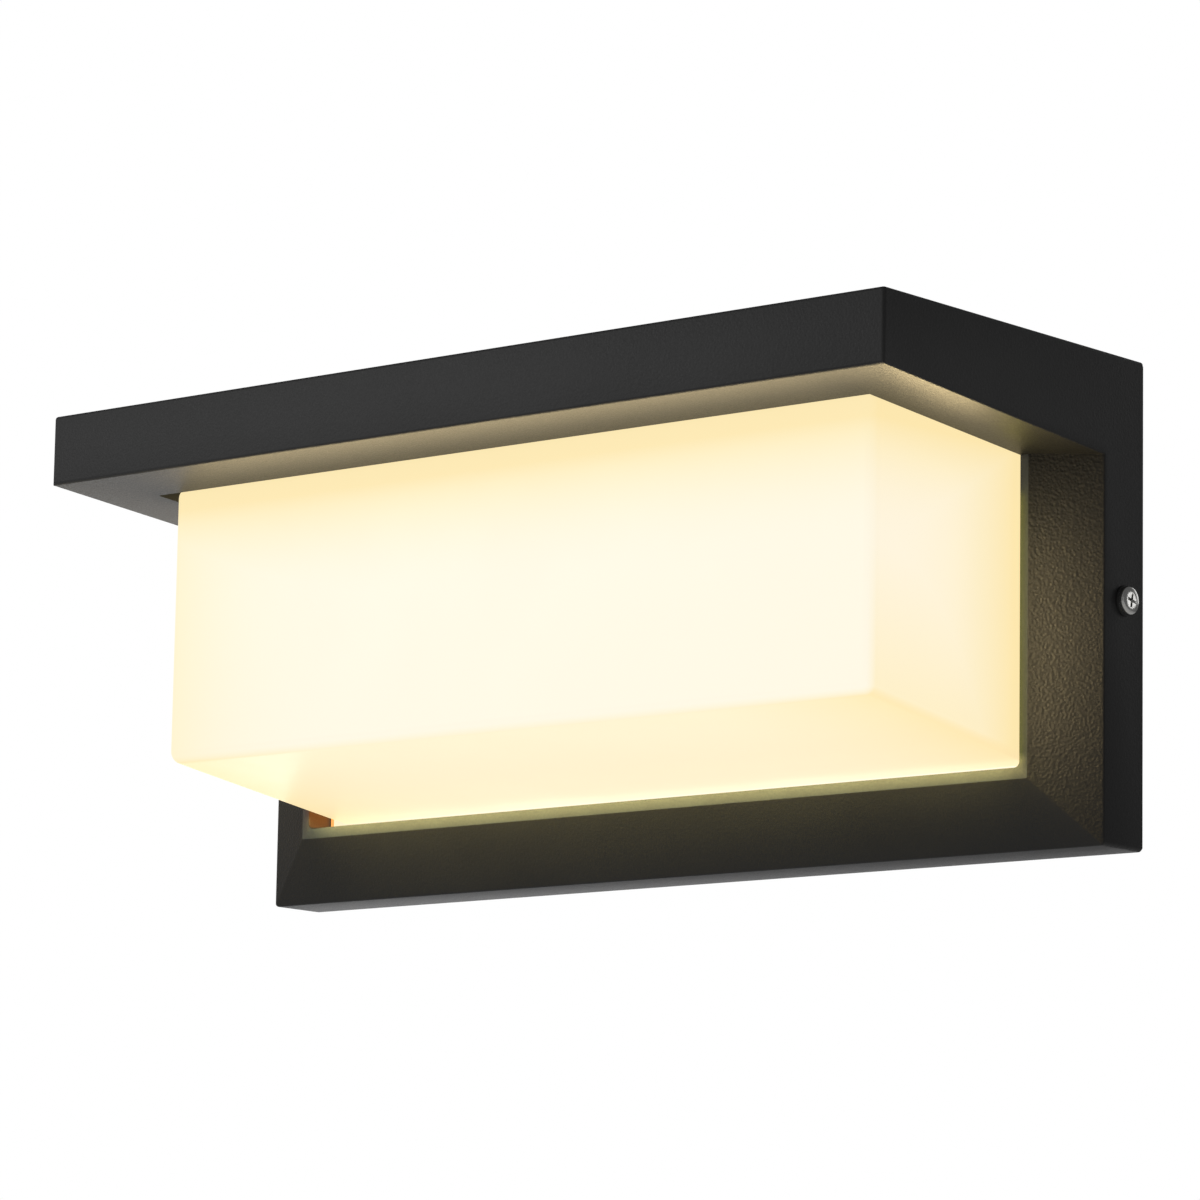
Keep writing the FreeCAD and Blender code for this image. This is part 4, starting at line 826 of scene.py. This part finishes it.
# white behind everything; the light itself comes mostly from the front left
def makeWorld():
    s = lightSizes
    world = bpy.data.worlds.new("studio")
    bpy.context.scene.world = world
    world.use_nodes = True
    tree = world.node_tree
    tree.nodes.clear()
    way = addNode(tree, "ShaderNodeTexCoord").outputs["Generated"]
    toFront = addNode(tree, "ShaderNodeVectorMath", {"operation": "DOT_PRODUCT"},
                      {0: way, 1: s["frontWay"]}).outputs["Value"]
    strength = mapped(tree, toFront, 0.2, 1.0, s["worldLow"], s["worldLow"] + s["worldFront"])
    seen = addNode(tree, "ShaderNodeBackground", inputs={"Color": (1, 1, 1, 1), "Strength": 1.0})
    lit = addNode(tree, "ShaderNodeBackground", inputs={"Color": (1, 1, 1, 1), "Strength": strength})
    ray = addNode(tree, "ShaderNodeLightPath").outputs["Is Camera Ray"]
    mix = addNode(tree, "ShaderNodeMixShader", inputs={0: ray, 1: lit.outputs[0], 2: seen.outputs[0]})
    addNode(tree, "ShaderNodeOutputWorld", inputs={"Surface": mix.outputs[0]})


def addPanel(name, power, colour, place, aim, width, height):
    data = bpy.data.lights.new(name, "AREA")
    data.shape = "RECTANGLE"
    data.size = width
    data.size_y = height
    data.energy = power
    data.color = linear(colour)[:3]
    panel = bpy.data.objects.new(name, data)
    bpy.context.scene.collection.objects.link(panel)
    panel.location = place
    panel.rotation_euler = (Vector(aim) - Vector(place)).to_track_quat("-Z", "Y").to_euler()
    panel.visible_camera = False
    return panel


def makeFloor():
    bpy.ops.object.select_all(action="DESELECT")
    bpy.ops.mesh.primitive_plane_add(size=12, location=(0, 0, -lightSizes["floorDepth"]))
    floor = bpy.context.object
    floor.name = "studioFloor"
    material, tree, shader, place = startMaterial("matteFloor")
    tree.links.new(ramp(tree, grain(tree, place, 300), [(0.3, "e6e6e6"), (0.7, "ededed")]),
                   shader.inputs["Base Color"])
    shader.inputs["Roughness"].default_value = 0.8
    shader.inputs["Emission Color"].default_value = linear("ffffff")
    shader.inputs["Emission Strength"].default_value = lightSizes["floorGlow"]
    floor.data.materials.append(material)


def makeLights():
    s = lightSizes
    addPanel("keyPanel", s["keyPower"], "ffffff", (-1.5, -1.7, 0.6), (0, 0, 0), 1.0, 1.0)
    addPanel("backPanel", s["backPower"], "ffffff", (0.2, 2.2, 0.8), (0, 0, 0), 1.0, 1.0)
    addPanel("sidePanel", s["sidePower"], "ffffff", (1.7, -1.0, 0.2), (0, 0, 0), 0.8, 0.8)
    # stands where the side screw's flat head mirrors it towards the camera
    addPanel("glintPanel", s["glintPower"], "ffffff", (1.27, 1.51, 0.32), (0, 0, 0), 0.3, 0.3)
    addPanel("lowPanel", s["lowPower"], "ffffff", (-1.6, 1.9, -0.42), (0, 0, 0), 1.6, 0.5)
    # what the lit diffuser throws on the casting round it
    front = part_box("diffuser")[0].y
    half = mm(opalSizes["halfWidth"])
    warm = "ffe3a8"
    depth, under = -mm(35), -mm(38.6)
    glows = [
        addPanel("frontGlow", s["frontGlow"], warm, (0, front - mm(1), 0), (0, front - 1, 0),
                 2 * half, mm(50)),
        addPanel("lowerGlow", s["lowerGlow"], "ffe88c", (0, depth, under), (0, depth, -1), 2 * half, mm(16)),
    ]
    # the gasket's edge shows olive on the right and orange on the left
    for side, tone in ((-1, "ff8a10"), (1, "c0b418")):
        x = side * (half + mm(0.8))
        y, z = -mm(62), -mm(10)
        glows.append(addPanel("sideGlow", s["sideGlow"], warm, (x, y, z), (side, y, z), mm(40), mm(60)))
        y, z = -mm(23.5), -mm(7)
        glows.append(addPanel("edgeGlow", s["edgeGlow"], tone, (x, y, z), (side, y, z), mm(13), mm(68)))
    for glow in glows:
        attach(glow, "lamp")


makeWorld()
makeFloor()
makeLights()
bpy.context.scene.view_settings.view_transform = "Standard"
print("light and floor set")
